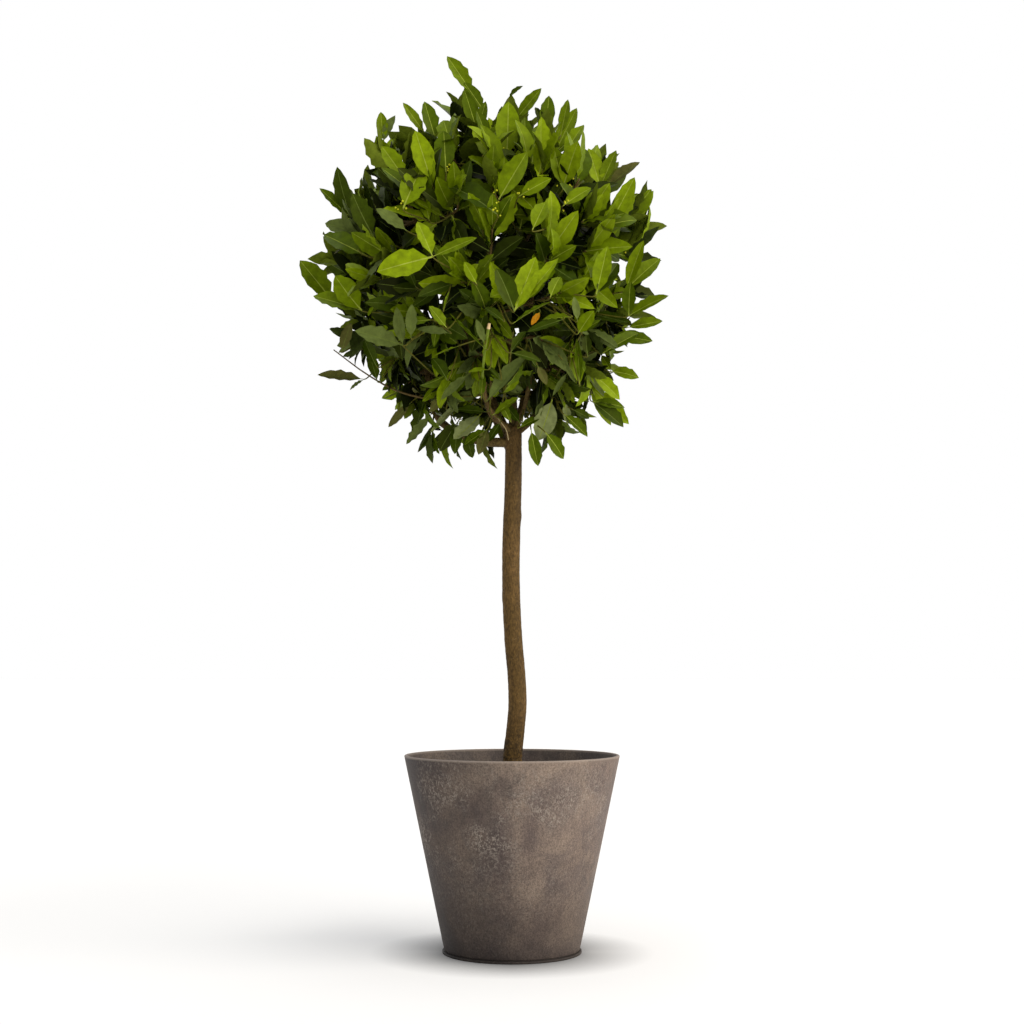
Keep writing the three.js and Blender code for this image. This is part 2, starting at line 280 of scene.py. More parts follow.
def planter_profile():
    body = FOOT_HEIGHT + GROOVE
    inset = wall_radius(body) - GROOVE_DEPTH
    edge = 0.8 * MM
    points = [(0.0, 0.0), (0.06, 0.0), (FOOT_RADIUS - 2 * edge, 0.0)]
    points += arc((FOOT_RADIUS - edge, edge), edge, -90, 0, 4)
    points += arc((FOOT_RADIUS - edge, FOOT_HEIGHT - edge), edge, 0, 90, 4)
    points += [(inset, FOOT_HEIGHT), (inset, body - 0.4 * MM)]
    points += arc((wall_radius(body) - edge, body + edge), edge, -90, -12, 4)
    points += [(wall_radius(z), z) for z in np.linspace(0.02, RIM_HEIGHT - 2 * LIP, 13)]
    points += arc((RIM_RADIUS - LIP, RIM_HEIGHT - LIP), LIP, -6, 90, 6)
    points += arc((RIM_RADIUS - RIM_WALL + LIP / 2, RIM_HEIGHT - LIP / 2), LIP / 2, 90, 180, 4)
    points += [(inner_radius(z), z) for z in np.linspace(RIM_HEIGHT - 2 * LIP, POT_FLOOR, 12)]
    return points + [(0.0, POT_FLOOR)]


# %% Spin a profile
def spun(profile, steps):
    """Spins a profile of (radius, height) points that starts and ends on the centre line."""
    bm = bmesh.new()
    verts = [bm.verts.new((radius, 0.0, height)) for radius, height in profile]
    edges = [bm.edges.new(pair) for pair in zip(verts, verts[1:])]
    bmesh.ops.spin(bm, geom=verts + edges, cent=(0, 0, 0), axis=(0, 0, 1), dvec=(0, 0, 0),
                   angle=FULL_TURN, steps=steps, use_merge=True)
    bmesh.ops.remove_doubles(bm, verts=bm.verts, dist=1e-6)
    bmesh.ops.recalc_face_normals(bm, faces=bm.faces)
    return bm


# %% [markdown]
# The planter's finish is what makes it look like stone. It is a warm grey-brown with slow clouds where
# the filler settled. Painted shade makes it darker and greyer towards the foot, and darker on its left
# side, away from the light. The foot ring at the bottom is darker still. Over that lie a fine grain drawn
# out along the wall by the mould, short pale squiggles in patches, a few dark hairline cracks, and a thin
# lip painted paler. A squiggle is the thin line where a noise crosses its middle value, and a finer noise
# breaks it into strokes. The inner wall is the same stone darkened as painted shade: lighter on its left,
# where light falls in over the rim, and darker on its right.


# %% Stone marks
SQUIGGLE_FADE = [(0.10, 0.1), (0.45, 0.3), (0.60, 1), (0.85, 0.8), (1, 0.3)]


def strokes(tree, scale, width, distortion, shift):
    """Thin lines where a wandering noise crosses its middle value."""
    wander = noise_of(tree, scale, 1.5, 0.5, distortion, coordinates(tree, (1, 1, 0.8), shift))
    line = maths(tree, "ABSOLUTE", maths(tree, "SUBTRACT", wander, 0.5))
    return ramp(tree, line, [(0, 1), (width, 0)])


def patches(tree, scale, low, high, shift):
    """Soft patches where a slow noise is high."""
    slow = noise_of(tree, scale, 2, 0.5, 0, coordinates(tree, shift=shift))
    return ramp(tree, slow, [(low, 0), (high, 1)])


def stone_squiggles(tree, height):
    """Strokes of two sizes, in patches that thin out towards the foot and the lip."""
    coarse = strokes(tree, 62, 0.055, 2.6, (0, 0, 0))
    marks = mix(tree, 1.0, coarse, strokes(tree, 96, 0.060, 2.2, (4, 2, 6)), "ADD")
    marks = times(tree, marks, patches(tree, 11, 0.44, 0.56, (5, 9, 2)))
    marks = times(tree, marks, patches(tree, 190, 0.42, 0.53, (1, 1, 1)))
    return times(tree, marks, ramp(tree, height, SQUIGGLE_FADE))


# %% Planter finish
CLOUD_TONES = [(0.30, (0.082, 0.062, 0.056)), (0.5, (0.130, 0.097, 0.079)), (0.70, (0.184, 0.138, 0.108))]
# Painted shade towards the foot: the stone darkens and greys downwards, and the foot ring at the very bottom
# is darker still.
PAINTED_FOOT_SHADE = [(0.015, 0.20), (0.0195, (0.46, 0.47, 0.49)), (0.20, (0.53, 0.525, 0.53)), (0.42, 0.84),
             (0.66, 1)]
# Painted shade from left to right: the outer wall darkens to its left, away from the light, and the inner
# wall to its right, under the rim.
OUTER_SIDE_SHADE = [(0.36, (0.33, 0.32, 0.34)), (0.45, 0.66), (0.53, 1)]
INNER_SIDE_SHADE = [(0.36, 1), (0.50, 0.86), (0.62, 0.70)]


def planter_finish(name, depth, sides):
    """The stone; a depth below one darkens it as painted shade, and sides paints shade across it from left to
    right.
    """
    material, tree, shader = new_finish(name, (0.10, 0.08, 0.065), 0.62, 0.22)
    clouds = noise_of(tree, 13, 8, 0.62, 0.5)
    colour = ramp(tree, clouds, [(at, toned(depth, tone)) for at, tone in CLOUD_TONES])
    drifts = noise_of(tree, 6.5, 5, 0.6, 0.8, coordinates(tree, (1, 1, 0.7), (3, 1, 7)))
    colour = overlay(tree, 0.5, colour, drifts, (0.38, (0.27, 0.25, 0.27)), (0.60, (0.66, 0.66, 0.62)))
    place = place_in(tree)
    height = maths(tree, "MULTIPLY", place["Z"], 1 / RIM_HEIGHT)
    # Painted shade, darker and greyer towards the foot.
    colour = times(tree, colour, ramp(tree, height, PAINTED_FOOT_SHADE))
    # Painted shade across the wall from left to right, as sides gives it.
    colour = times(tree, colour, ramp(tree, maths(tree, "ADD", place["X"], 0.5), sides))
    smears = times(tree, strokes(tree, 9, 0.035, 1.8, (6, 4, 2)), patches(tree, 7, 0.46, 0.6, (3, 3, 9)))
    colour = painted(tree, colour, smears, 0.4, toned(0.5 * depth, (0.10, 0.082, 0.07)))
    grain = noise_of(tree, 420, 3, 0.7)
    colour = overlay(tree, 0.62, colour, grain, (0.32, 0.18), (0.68, 0.82))
    drawn = noise_of(tree, 330, 2, 0.6, 0, coordinates(tree, (1, 1, 0.22)))
    colour = overlay(tree, 0.22, colour, drawn, (0.32, 0.2), (0.68, 0.8))
    cracks = times(tree, strokes(tree, 17, 0.012, 2.2, (2, 8, 3)), patches(tree, 19, 0.52, 0.62, (8, 2, 4)))
    colour = painted(tree, colour, cracks, 0.45, toned(0.25 * depth, (0.09, 0.07, 0.06)))
    squiggles = stone_squiggles(tree, height)
    colour = painted(tree, colour, squiggles, 0.52, toned(depth, (0.27, 0.23, 0.19)))
    # The top of the lip is painted paler.
    pale_lip = ramp(tree, height, [(0.988, 0), (0.996, 1)])
    colour = painted(tree, colour, pale_lip, 0.6, (0.25, 0.205, 0.17))
    tree.links.new(colour, shader.inputs["Base Color"])
    tree.links.new(ramp(tree, clouds, [(0.3, 0.54), (0.7, 0.72)]), shader.inputs["Roughness"])
    relief = mix(tree, 0.5, ramp(tree, grain, [(0, 0), (1, 1)]), squiggles, "ADD")
    bump(tree, shader, relief, 0.6 * MM, 0.7)
    return material


# %% Planter
INNER_WALL = 1


def mark_inner_wall(bm):
    """The faces that look towards the centre line take the inner wall's finish."""
    for face in bm.faces:
        middle = face.calc_center_median()
        inward = middle.x * face.normal.x + middle.y * face.normal.y < 0
        if inward and middle.z < RIM_HEIGHT - LIP:
            face.material_index = INNER_WALL
    return bm


planter_mesh = mesh_of("planter", mark_inner_wall(spun(planter_profile(), SPIN_STEPS)))
planter_mesh.set_sharp_from_angle(angle=math.radians(50))
STONE = planter_finish("stone_composite", 1.0, OUTER_SIDE_SHADE)
# The inner wall: the same stone darkened to 0.58 of its tone, as painted shade inside the planter.
SHADED_STONE = planter_finish("stone_painted_shade", 0.58, INNER_SIDE_SHADE)
keep("planter", planter_mesh, [STONE, SHADED_STONE], ["pot"])

# %% [markdown]
# ## The compost
#
# Loam-based compost settles into a shallow, crumbly dish with a little rise round the trunk. The
# surface is a disc of fine rings whose height comes from noise, closed underneath, and a few hundred
# crumbs and bark chips lie on it, all copies of one rough pebble.

# %% Compost
SOIL_LOW, SOIL_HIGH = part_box("soil")
SOIL_TOP = SOIL_HIGH.z
SOIL_RADIUS = inner_radius(SOIL_TOP) - 0.3 * MM


def compost_height(x, y):
    """The rise or fall of the compost's surface at a place on it."""
    out = math.hypot(x, y)
    lumps = 3.2 * noise.fractal(Vector((x * 42, y * 42, 2.0)), 1.0, 2.1, 4)
    settled = -7.0 * (out / SOIL_RADIUS) ** 3
    mound = 4.0 * math.exp(-((out / 0.045) ** 2))
    return (lumps + settled + mound) * MM


def compost():
    bottom = SOIL_LOW.z
    rings = [(SOIL_RADIUS * share, SOIL_TOP) for share in np.linspace(0, 1, 60)]
    under = [(inner_radius(bottom) - 0.3 * MM, bottom), (0.0, bottom)]
    bm = spun(rings + under, 120)
    for vert in bm.verts:
        if vert.co.z > SOIL_TOP - 1e-5:
            vert.co.z += compost_height(vert.co.x, vert.co.y)
    return bm


def compost_finish(name, dark, pale):
    material, tree, shader = new_finish(name, dark, 0.92, 0.15)
    crumbs = noise_of(tree, 170, 5, 0.65)
    tree.links.new(ramp(tree, crumbs, [(0.35, dark), (0.7, pale)]), shader.inputs["Base Color"])
    bump(tree, shader, crumbs, 2 * MM)
    return material


COMPOST = compost_finish("compost", (0.018, 0.012, 0.008), (0.060, 0.042, 0.028))
keep("compost", mesh_of("compost", compost()), [COMPOST], ["soil"])


# %% [markdown]
# ## Many copies in one mesh
#
# The crown needs thousands of leaves. Each kind of small thing is modelled once, in bmesh, and read
# into arrays. `scatter` then writes all the copies into one mesh at a stroke: every copy has its own
# corners, so it can be turned, stretched and given its own colour, and the file stays fast.


# %% Templates and scatter
def template_of(bm):
    """A small shape as arrays: its corners, and for each face its corner numbers and its part."""
    bm.verts.index_update()
    corners = np.array([vert.co for vert in bm.verts], float)
    faces = [[vert.index for vert in face.verts] for face in bm.faces]
    parts = np.array([face.material_index for face in bm.faces])
    bm.free()
    return {"corners": corners, "faces": faces, "parts": parts}


def scatter(name, template, points, kinds, smooth=True):
    """One mesh of many copies: points holds each copy's corners, kinds its faces' material numbers."""
    copies, count = points.shape[:2]
    loops = np.concatenate([np.array(face) for face in template["faces"]])
    sizes = np.array([len(face) for face in template["faces"]])
    starts = np.concatenate([[0], np.cumsum(sizes)[:-1]])
    step = np.arange(copies)[:, None]
    mesh = bpy.data.meshes.new(name)
    mesh.vertices.add(copies * count)
    mesh.vertices.foreach_set("co", points.astype(np.float32).ravel())
    mesh.loops.add(copies * len(loops))
    mesh.loops.foreach_set("vertex_index", (loops[None] + count * step).astype(np.int32).ravel())
    mesh.polygons.add(copies * len(sizes))
    mesh.polygons.foreach_set("loop_start", (starts[None] + len(loops) * step).astype(np.int32).ravel())
    mesh.polygons.foreach_set("material_index", kinds.astype(np.int32).ravel())
    mesh.polygons.foreach_set("use_smooth", np.full(copies * len(sizes), smooth))
    mesh.update(calc_edges=True)
    mesh.validate()
    return mesh


# %% Crumbs on the compost
def crumb():
    """A rough pebble: a coarse ball with its corners pushed in and out."""
    bm = bmesh.new()
    bmesh.ops.create_icosphere(bm, subdivisions=1, radius=1.0)
    rough = random.Random(5)
    for vert in bm.verts:
        vert.co *= rough.uniform(0.7, 1.15)
    return template_of(bm)


def compost_crumbs(count):
    dice = random.Random(31)
    shape = crumb()
    places = []
    while len(places) < count:
        out = SOIL_RADIUS * 0.97 * math.sqrt(dice.random())
        turn = FULL_TURN * dice.random()
        x, y = out * math.cos(turn), out * math.sin(turn)
        if math.hypot(x, y) < 0.03:
            continue
        size = dice.uniform(1.2, 3.6) * MM
        stretch = np.array([dice.uniform(0.7, 2.0), dice.uniform(0.6, 1.0), dice.uniform(0.4, 0.8)])
        cosine, sine = math.cos(turn * 7), math.sin(turn * 7)
        corners = shape["corners"] * stretch * size
        corners = corners @ np.array([[cosine, sine, 0], [-sine, cosine, 0], [0, 0, 1]])
        places.append(corners + (x, y, SOIL_TOP + compost_height(x, y) + 0.3 * size))
    kinds = np.repeat([[dice.choice((0, 0, 0, 1)) for _ in range(count)]], len(shape["faces"]), 0).T
    mesh = scatter("compost_crumbs", shape, np.array(places), kinds, smooth=False)
    finishes = [compost_finish("dark_crumb", (0.022, 0.014, 0.009), (0.070, 0.048, 0.030)),
                compost_finish("bark_chip", (0.085, 0.048, 0.024), (0.19, 0.12, 0.065))]
    return keep("compost_crumbs", mesh, finishes)


compost_crumbs(420)

# %% [markdown]
# ## Limbs that follow a curve
#
# A trunk or bough is a tube that bends, tapers and swells. It starts as a flat grid: one direction is
# rolled round into the limb's girth, the other follows the limb's centre line, the two long edges are
# welded into a seam, and the open ends are filled. The centre line is the smooth curve through a few
# named points that the solids use too.


# %% Curves
def through(points, at):
    """A centripetal Catmull-Rom curve through points, read where at runs from 0 to 1."""
    points = [np.array(p, float) for p in points]
    ends = [2 * points[0] - points[1], *points, 2 * points[-1] - points[-2]]
    spans = len(points) - 1
    first = min(int(at * spans), spans - 1)
    p0, p1, p2, p3 = ends[first:first + 4]
    d0, d1, d2 = (math.sqrt(np.linalg.norm(b - a)) for a, b in ((p0, p1), (p1, p2), (p2, p3)))
    m1 = ((p1 - p0) / d0 - (p2 - p0) / (d0 + d1) + (p2 - p1) / d1) * d1
    m2 = ((p2 - p1) / d1 - (p3 - p1) / (d1 + d2) + (p3 - p2) / d2) * d1
    t = at * spans - first
    return p1 + m1 * t + (3 * (p2 - p1) - 2 * m1 - m2) * t ** 2 + (2 * (p1 - p2) + m1 + m2) * t ** 3


def bezier(points, at):
    """A point on the curve of four handles."""
    a, b, c, d = points
    s = 1 - at
    return a * s ** 3 + b * 3 * s * s * at + c * 3 * s * at * at + d * at ** 3


def run_of(handles, end=1.0):
    """The curve of four handles, cut back to a share of its length."""
    return lambda at: bezier(handles, at * end)


def heading_of(curve, at, step=0.001):
    """The way a curve runs at a place on it."""
    return unit(curve(min(at + step, 1.0)) - curve(max(at - step, 0.0)))


# %% Tubes
def frames_along(curve, steps):
    """Centres and two square directions for each ring of a limb, carried along without twisting."""
    tangent = heading_of(curve, 0)
    side = unit(np.cross(tangent, UP if abs(tangent[2]) < 0.9 else (1.0, 0, 0)))
    centres, sides, others = [], [], []
    for step in range(steps + 1):
        tangent = heading_of(curve, step / steps)
        side = unit(side - tangent * side.dot(tangent))
        centres.append(curve(step / steps))
        sides.append(side)
        others.append(np.cross(tangent, side))
    return np.array(centres), np.array(sides), np.array(others)


def tube_template(around, steps):
    """A unit tube: each corner's place round the tube in turns, and its ring."""
    bm = bmesh.new()
    bmesh.ops.create_grid(bm, x_segments=around, y_segments=steps, size=1)
    for vert in bm.verts:
        turn = FULL_TURN * (vert.co.x + 1) / 2
        vert.co = (math.cos(turn), math.sin(turn), round((vert.co.y + 1) / 2 * steps))
    bmesh.ops.remove_doubles(bm, verts=bm.verts, dist=1e-5)
    bmesh.ops.holes_fill(bm, edges=bm.edges, sides=around)
    bmesh.ops.recalc_face_normals(bm, faces=bm.faces)
    return template_of(bm)


def limb_points(template, curve, radius_at):
    """The corners of one limb along a curve."""
    ring = template["corners"][:, 2].round().astype(int)
    steps = ring.max()
    centres, sides, others = frames_along(curve, steps)
    radius = np.array([radius_at(step / steps) for step in range(steps + 1)])[ring, None]
    cosine, sine = template["corners"][:, :1], template["corners"][:, 1:2]
    return centres[ring] + (sides[ring] * cosine + others[ring] * sine) * radius


# %% [markdown]
# ## The trunk and its bark
#
# Young bay bark is thin and smooth, olive-brown with a bronze flush, dotted with pale pores, and it
# wrinkles only near the ground, where the trunk spreads into knobbly root buttresses. Leaf scars and
# the stubs of old side shoots leave low rings and bumps. The wide shapes are in the mesh, so they
# show on the trunk's edge too, and the grain and the pores are in the finish.

# %% Trunk line
TRUNK_LINE = metres([(-2, 0, 262), (-0.5, 0, 300), (2, 0, 338), (6, 1, 372), (9.4, 2, 414), (8.2, 3, 460),
                     (2.6, 3, 525), (-1, 1, 600), (-1.2, -1, 690), (2.4, 0, 801), (2.6, 2, 893)])
TRUNK_RADIUS = 15.7 * MM
TRUNK_TOP_RADIUS = 14.5 * MM
TRUNK_LENGTH = (893 - 262) * MM
ROOT_FLARE = 24.0 * MM
ROOT_RISE = 28.0 * MM


def trunk_curve(at):
    return through(TRUNK_LINE, at)


def trunk_radius(at):
    flare = ROOT_FLARE * math.exp(-at * TRUNK_LENGTH / ROOT_RISE)
    return TRUNK_RADIUS + (TRUNK_TOP_RADIUS - TRUNK_RADIUS) * at ** 3 + flare


# %% Bark
def bark_relief(point, rough):
    """How far the bark stands out at a point: slow swellings, low rings, and knobs near the soil."""
    x, y, z = point
    swell = 0.55 * noise.fractal(Vector((x * 30, y * 30, z * 14)), 1.0, 2.0, 3)
    rings = 0.28 * noise.noise(Vector((x * 12, y * 12, z * 230)))
    fine = 0.22 * noise.fractal(Vector((x * 160, y * 160, z * 70)), 0.9, 2.1, 3)
    knobs = rough * 3.8 * noise.fractal(Vector((x * 62, y * 62, z * 52)), 0.7, 2.0, 4)
    return (swell + rings + fine + knobs) * MM


def barked(name, template, curve, radius_at, rough_at, knots=()):
    """A limb whose corners are pushed in and out by the bark's relief."""
    points = limb_points(template, curve, radius_at)
    ring = template["corners"][:, 2].round().astype(int)
    steps = ring.max()
    centres = np.array([curve(step / steps) for step in range(steps + 1)])[ring]
    out = points - centres
    for i, (corner, way) in enumerate(zip(points, out)):
        length = np.linalg.norm(way)
        if length < 1e-6:
            continue
        lift = bark_relief(corner, rough_at(ring[i] / steps))
        for place, reach, height in knots:
            lift += height * math.exp(-((np.linalg.norm(corner - place) / reach) ** 2))
        points[i] = corner + way / length * lift
    kinds = np.zeros((1, len(template["faces"])))
    return scatter(name, template, points[None], kinds)


def bark_finish(name, olive, bronze, pale):
    material, tree, shader = new_finish(name, olive, 0.75, 0.14)
    tone = noise_of(tree, 22, 6, 0.65, 0.6, coordinates(tree, (1, 1, 0.4)))
    colour = ramp(tree, tone, [(0.32, toned(0.62, olive)), (0.5, olive), (0.68, bronze)])
    grain = noise_of(tree, 330, 4, 0.7, 0, coordinates(tree, (1, 1, 0.45), (1, 2, 3)))
    colour = overlay(tree, 0.7, colour, grain, (0.34, 0.16), (0.66, 0.86))
    foot = ramp(tree, place_in(tree)["Z"], [(0.335, 1), (0.42, 0)])
    wander = noise_of(tree, 95, 5, 0.7, 1.2, coordinates(tree, shift=(7, 3, 5)))
    fissures = times(tree, ramp(tree, wander, [(0.42, 1), (0.54, 0)]), foot)
    colour = painted(tree, colour, fissures, 0.8, toned(0.16, olive))
    pores = node(tree, "ShaderNodeTexVoronoi")
    pores.inputs["Scale"].default_value = 170
    tree.links.new(coordinates(tree, (1, 1, 1.9)), pores.inputs["Vector"])
    spots = ramp(tree, pores.outputs["Distance"], [(0.10, 1), (0.22, 0)])
    spots = times(tree, spots, ramp(tree, noise_of(tree, 60, 2), [(0.48, 0), (0.60, 1)]))
    colour = painted(tree, colour, spots, 0.55, pale)
    tree.links.new(colour, shader.inputs["Base Color"])
    relief = mix(tree, 0.45, ramp(tree, grain, [(0, 0), (1, 1)]), spots, "ADD")
    bump(tree, shader, relief, 0.7 * MM, 0.8)
    return material


BARK = bark_finish("bay_bark", (0.074, 0.042, 0.011), (0.112, 0.062, 0.019), (0.19, 0.13, 0.065))
BOUGH_BARK = bark_finish("young_bark", (0.088, 0.058, 0.016), (0.125, 0.080, 0.026), (0.20, 0.14, 0.06))


# %% [markdown]
# The trunk is built as one grid rolled along its curve. It starts a few millimetres under the crumbs,
# so that no gap shows round its foot. Stubs of old side shoots are places where the bark swells.

# %% Trunk mesh
TRUNK_START = 0.035
KNOBBLY_SHARE = 0.16
KNOTS = [((-14, -8, 598), 9, 1.6), ((12, -12, 512), 8, 1.3), ((16, -2, 738), 9, 1.5),
         ((-12, -10, 676), 7, 1.2), ((10, -14, 392), 8, 1.4), ((-8, -12, 444), 8, 1.2),
         ((4, 16, 640), 9, 1.5), ((-4, -15, 836), 10, 1.4)]
KNOTS = [(np.array(place) * MM, reach * MM, height * MM) for place, reach, height in KNOTS]


def trunk_part(share):
    """The trunk's own measure, from the height where its mesh starts."""
    return TRUNK_START + (1 - TRUNK_START) * share


def knobbly(share):
    """How knobbly the bark is: fully at the soil, and hardly at all two hands' breadths above it."""
    return math.exp(-((trunk_part(share) / KNOBBLY_SHARE) ** 2))


trunk_mesh = barked("trunk_bark", tube_template(48, 260), lambda t: trunk_curve(trunk_part(t)),
                    lambda t: trunk_radius(trunk_part(t)), knobbly, KNOTS)
keep("trunk_bark", trunk_mesh, [BARK], ["trunk"])

# %% [markdown]
# ## The boughs
#
# At the fork the trunk splits into nine boughs: one leader, four that rise, and four that spread. Each
# runs from inside the trunk to its hub, where it hands over to the stem of its own mass of foliage.

# %% Masses of foliage
CROWN_CENTRE = np.array([-42, 0, 1163]) * MM
CROWN_RADIUS = 300 * MM
GAP = 0.3 * MM
BOUGHS = {
    "top": ([(2.6, 2, 888), (1, 3, 950), (-6, 2, 1060)], (8, 5.5)),
    "right_back": ([(5, 6, 880), (16, 22, 930), (34, 50, 1040)], (5.4, 4)),
    "left_back": ([(-3, 8, 872), (-20, 28, 915), (-74, 52, 1030)], (7, 4.5)),
    "left_front": ([(-3, -5, 892), (-33, -20, 908), (-45, -30, 936), (-54, -44, 990)], (4.8, 3.6)),
    "right_front": ([(5, -3, 890), (22, -22, 928), (36, -52, 1040)], (4.4, 3.4)),
    "right": ([(7, 1, 880), (42, 3, 916), (60, 4, 950)], (5.5, 4)),
    "back": ([(-1, 10, 846), (-12, 50, 872), (-34, 88, 930)], (6, 4.2)),
    "left": ([(-5, 3, 866), (-62, 10, 872), (-126, 14, 908)], (8.5, 5)),
    "front": ([(-1, -6, 884), (-24, -26, 903), (-46, -70, 934)], (4.6, 3.6)),
}
RINGS = [
    {"tilt": 90, "out": 0, "up": 66, "turns": [0], "names": ["top"]},
    {"tilt": 20, "out": 95, "up": 36, "turns": [45, 135, 225, 315],
     "names": ["right_back", "left_back", "left_front", "right_front"]},
    {"tilt": -35, "out": 105, "up": -178, "turns": [0, 90, 180, 270],
     "names": ["right", "back", "left", "front"]},
]
STEM_REACH = 0.62
STEM_BEND = 0.35
STEM_TIP = 3 * MM


def facing(azimuth, tilt):
    level = math.cos(math.radians(tilt))
    turn = math.radians(azimuth)
    return np.array([level * math.cos(turn), level * math.sin(turn), math.sin(math.radians(tilt))])


def masses_in(ring):
    made = []
    for name, turn in zip(ring["names"], ring["turns"]):
        hub = CROWN_CENTRE + (facing(turn, 0) * ring["out"] + UP * ring["up"]) * MM
        line, radii = BOUGHS[name]
        made.append({"name": name, "axis": facing(turn, ring["tilt"]), "hub": hub,
                     "line": [*metres(line), hub], "radii": [radius * MM for radius in radii]})
    return made


masses = [mass for ring in RINGS for mass in masses_in(ring)]
print("masses:", [mass["name"] for mass in masses])


# %% Bough meshes
def limb_curve(mass):
    return lambda at: through(mass["line"], at)


def tapered(radii):
    return lambda at: radii[0] + (radii[1] - radii[0]) * at


BOUGH_TEMPLATE = tube_template(20, 70)
for mass in masses:
    name = "bough_" + mass["name"]
    mesh = barked(name + "_bark", BOUGH_TEMPLATE, limb_curve(mass), tapered(mass["radii"]), lambda t: 0.1)
    keep(name + "_bark", mesh, [BOUGH_BARK], [name])

# %% [markdown]
# ## How the crown grows
#
# The solids grow their shoots by a seeded rule, and the same rule is written again here, with the same
# seed, so that every shoot of the render lies in its solid. A stem carries each bough on into its
# mass, and ninety-two shoots leave the stems and end on a ball, some a little proud of it: those give
# the crown its outline. On each shoot this file then grows what the solids are too coarse for: the
# fine twigs, each with its own spray of leaves.

# %% Shoot values
SEED = 418
SHOOT_COUNT = 80
SHOOT_REACH = 242 * MM
SHOOT_SPREAD = 0.1
SHOOT_WANDER = 0.4
SHOOT_LEAVES = (0.12, 0.95)
SHOOT_RADII = (2.9 * MM, 1.7 * MM)
PULL_BACK = 0.6
LIFT = 0.35
LEADING_SHOOTS = {
    "top": (100, 292, 10), "top_right": (80, 252, -20), "shoulder_right": (62, 252, 15),
    "upper_right": (38, 246, -10), "right_low": (-16, 232, 5), "hip_right": (-48, 268, 0),
    "skirt_right": (-76, 258, -15), "skirt_left": (-98, 232, -20), "bare_twig": (211, 264, 0),
    "left_low": (177, 240, -10), "upper_left": (153, 242, 10), "shoulder_left": (124, 252, -15),
}


# %% Directions and draws
def seeded(seed):
    """The solids' own generator, so that both grow the same shoots."""
    state = seed

    def draw():
        nonlocal state
        state = (1664525 * state + 1013904223) % 2 ** 32
        return state / 2 ** 32

    return draw


def ball_direction(i, count, turn):
    rise = 1 - 2 * (i + 0.5) / count
    level = math.sqrt(1 - rise * rise)
    return np.array([level * math.cos(turn), level * math.sin(turn), rise])


def shoot_tips():
    draw = seeded(SEED)
    tips = []
    for i in range(SHOOT_COUNT):
        direction = ball_direction(i, SHOOT_COUNT, i * GOLDEN_ANGLE + SHOOT_WANDER * (draw() - 0.5))
        tips.append((direction, SHOOT_REACH * (1 + SHOOT_SPREAD * (draw() - 0.6)), "shoot"))
    for name, (angle, reach, back) in LEADING_SHOOTS.items():
        turn = math.radians(angle)
        tips.append((unit((math.cos(turn), back / reach, math.sin(turn))), reach * MM, name))
    return tips


# %% Shoots
def owner_of(direction):
    return max(masses, key=lambda mass: mass["axis"].dot(direction))


def stem_handles(mass):
    heading = heading_of(limb_curve(mass), 1)
    start = mass["hub"] + heading * GAP
    end = CROWN_CENTRE + mass["axis"] * STEM_REACH * CROWN_RADIUS
    bend = STEM_BEND * np.linalg.norm(end - start)
    return [start, start + heading * bend, end - mass["axis"] * bend, end]


def shoot_handles(mass, direction, reach):
    stem = mass["stem"]
    end = CROWN_CENTRE + direction * reach
    run = stem[3] - stem[0]
    square = (end - stem[0]).dot(run) / run.dot(run)
    start = bezier(stem, min(max(PULL_BACK * square, SHOOT_LEAVES[0]), SHOOT_LEAVES[1]))
    length = np.linalg.norm(end - start)
    heading = unit(direction + UP * (LIFT if direction[2] > -0.5 else 0))
    early = start + (end - start) * 0.35 + mass["axis"] * 0.06 * length
    return [start, early, end - heading * 0.3 * length, end]


for mass in masses:
    mass["stem"] = stem_handles(mass)
    mass["shoots"] = []
for direction, reach, name in shoot_tips():
    mass = owner_of(direction)
    handles = shoot_handles(mass, direction, reach)
    mass["shoots"].append({"direction": direction, "handles": handles, "name": name})
print("shoots:", {mass["name"]: len(mass["shoots"]) for mass in masses})

# %% [markdown]
# ## One bay leaf
#
# A bay leaf is a long ellipse with a short stalk, a pale midrib, a crisped and slightly wavy edge, and
# a paler underside. The upper face is a grid three columns wide whose corners are moved into the leaf's
# outline, the underside is a grid of two columns, and the two are welded along the margin, so the leaf
# is a thin closed body of some fifty faces. The stalk and the upper face's narrow middle column carry
# the midrib's own finish. Six habits then fold, curl and sway the flat leaf.

# %% Leaf shape
LEAF_ROWS = (0.0, 0.08, 0.17, 0.28, 0.39, 0.50, 0.61, 0.72, 0.82, 0.91, 1.0)
RIB_WIDTH = 0.0105
STALK_END = LEAF_ROWS[1]
STALK_WIDTH = 0.013
LEAF_WIDTH = 0.186
LEAF_THICKNESS = 0.006
BLADE, MIDRIB, UNDERSIDE = 0, 1, 2


def half_width(t):
    """Half the leaf's width for a length of one, t of the way from the stalk's foot."""
    if t <= STALK_END:
        return STALK_WIDTH
    s = (t - STALK_END) / (1 - STALK_END)
    return max(LEAF_WIDTH * 3.02 * s ** 0.75 * (1 - s) ** 0.85, STALK_WIDTH * (1 - s))


def outline_corner(place, columns, t):
    """Where a corner goes on the flat leaf: place is its column's share, from one margin to the other."""
    half = half_width(t)
    column = round(place * columns)
    if columns == 2 and column == 1:
        return 0.0
    if columns == 3 and column in (1, 2):
        rib = min(RIB_WIDTH * (1 - 0.7 * t), half * 0.8)
        return -rib if column == 1 else rib
    return (2 * place - 1) * half


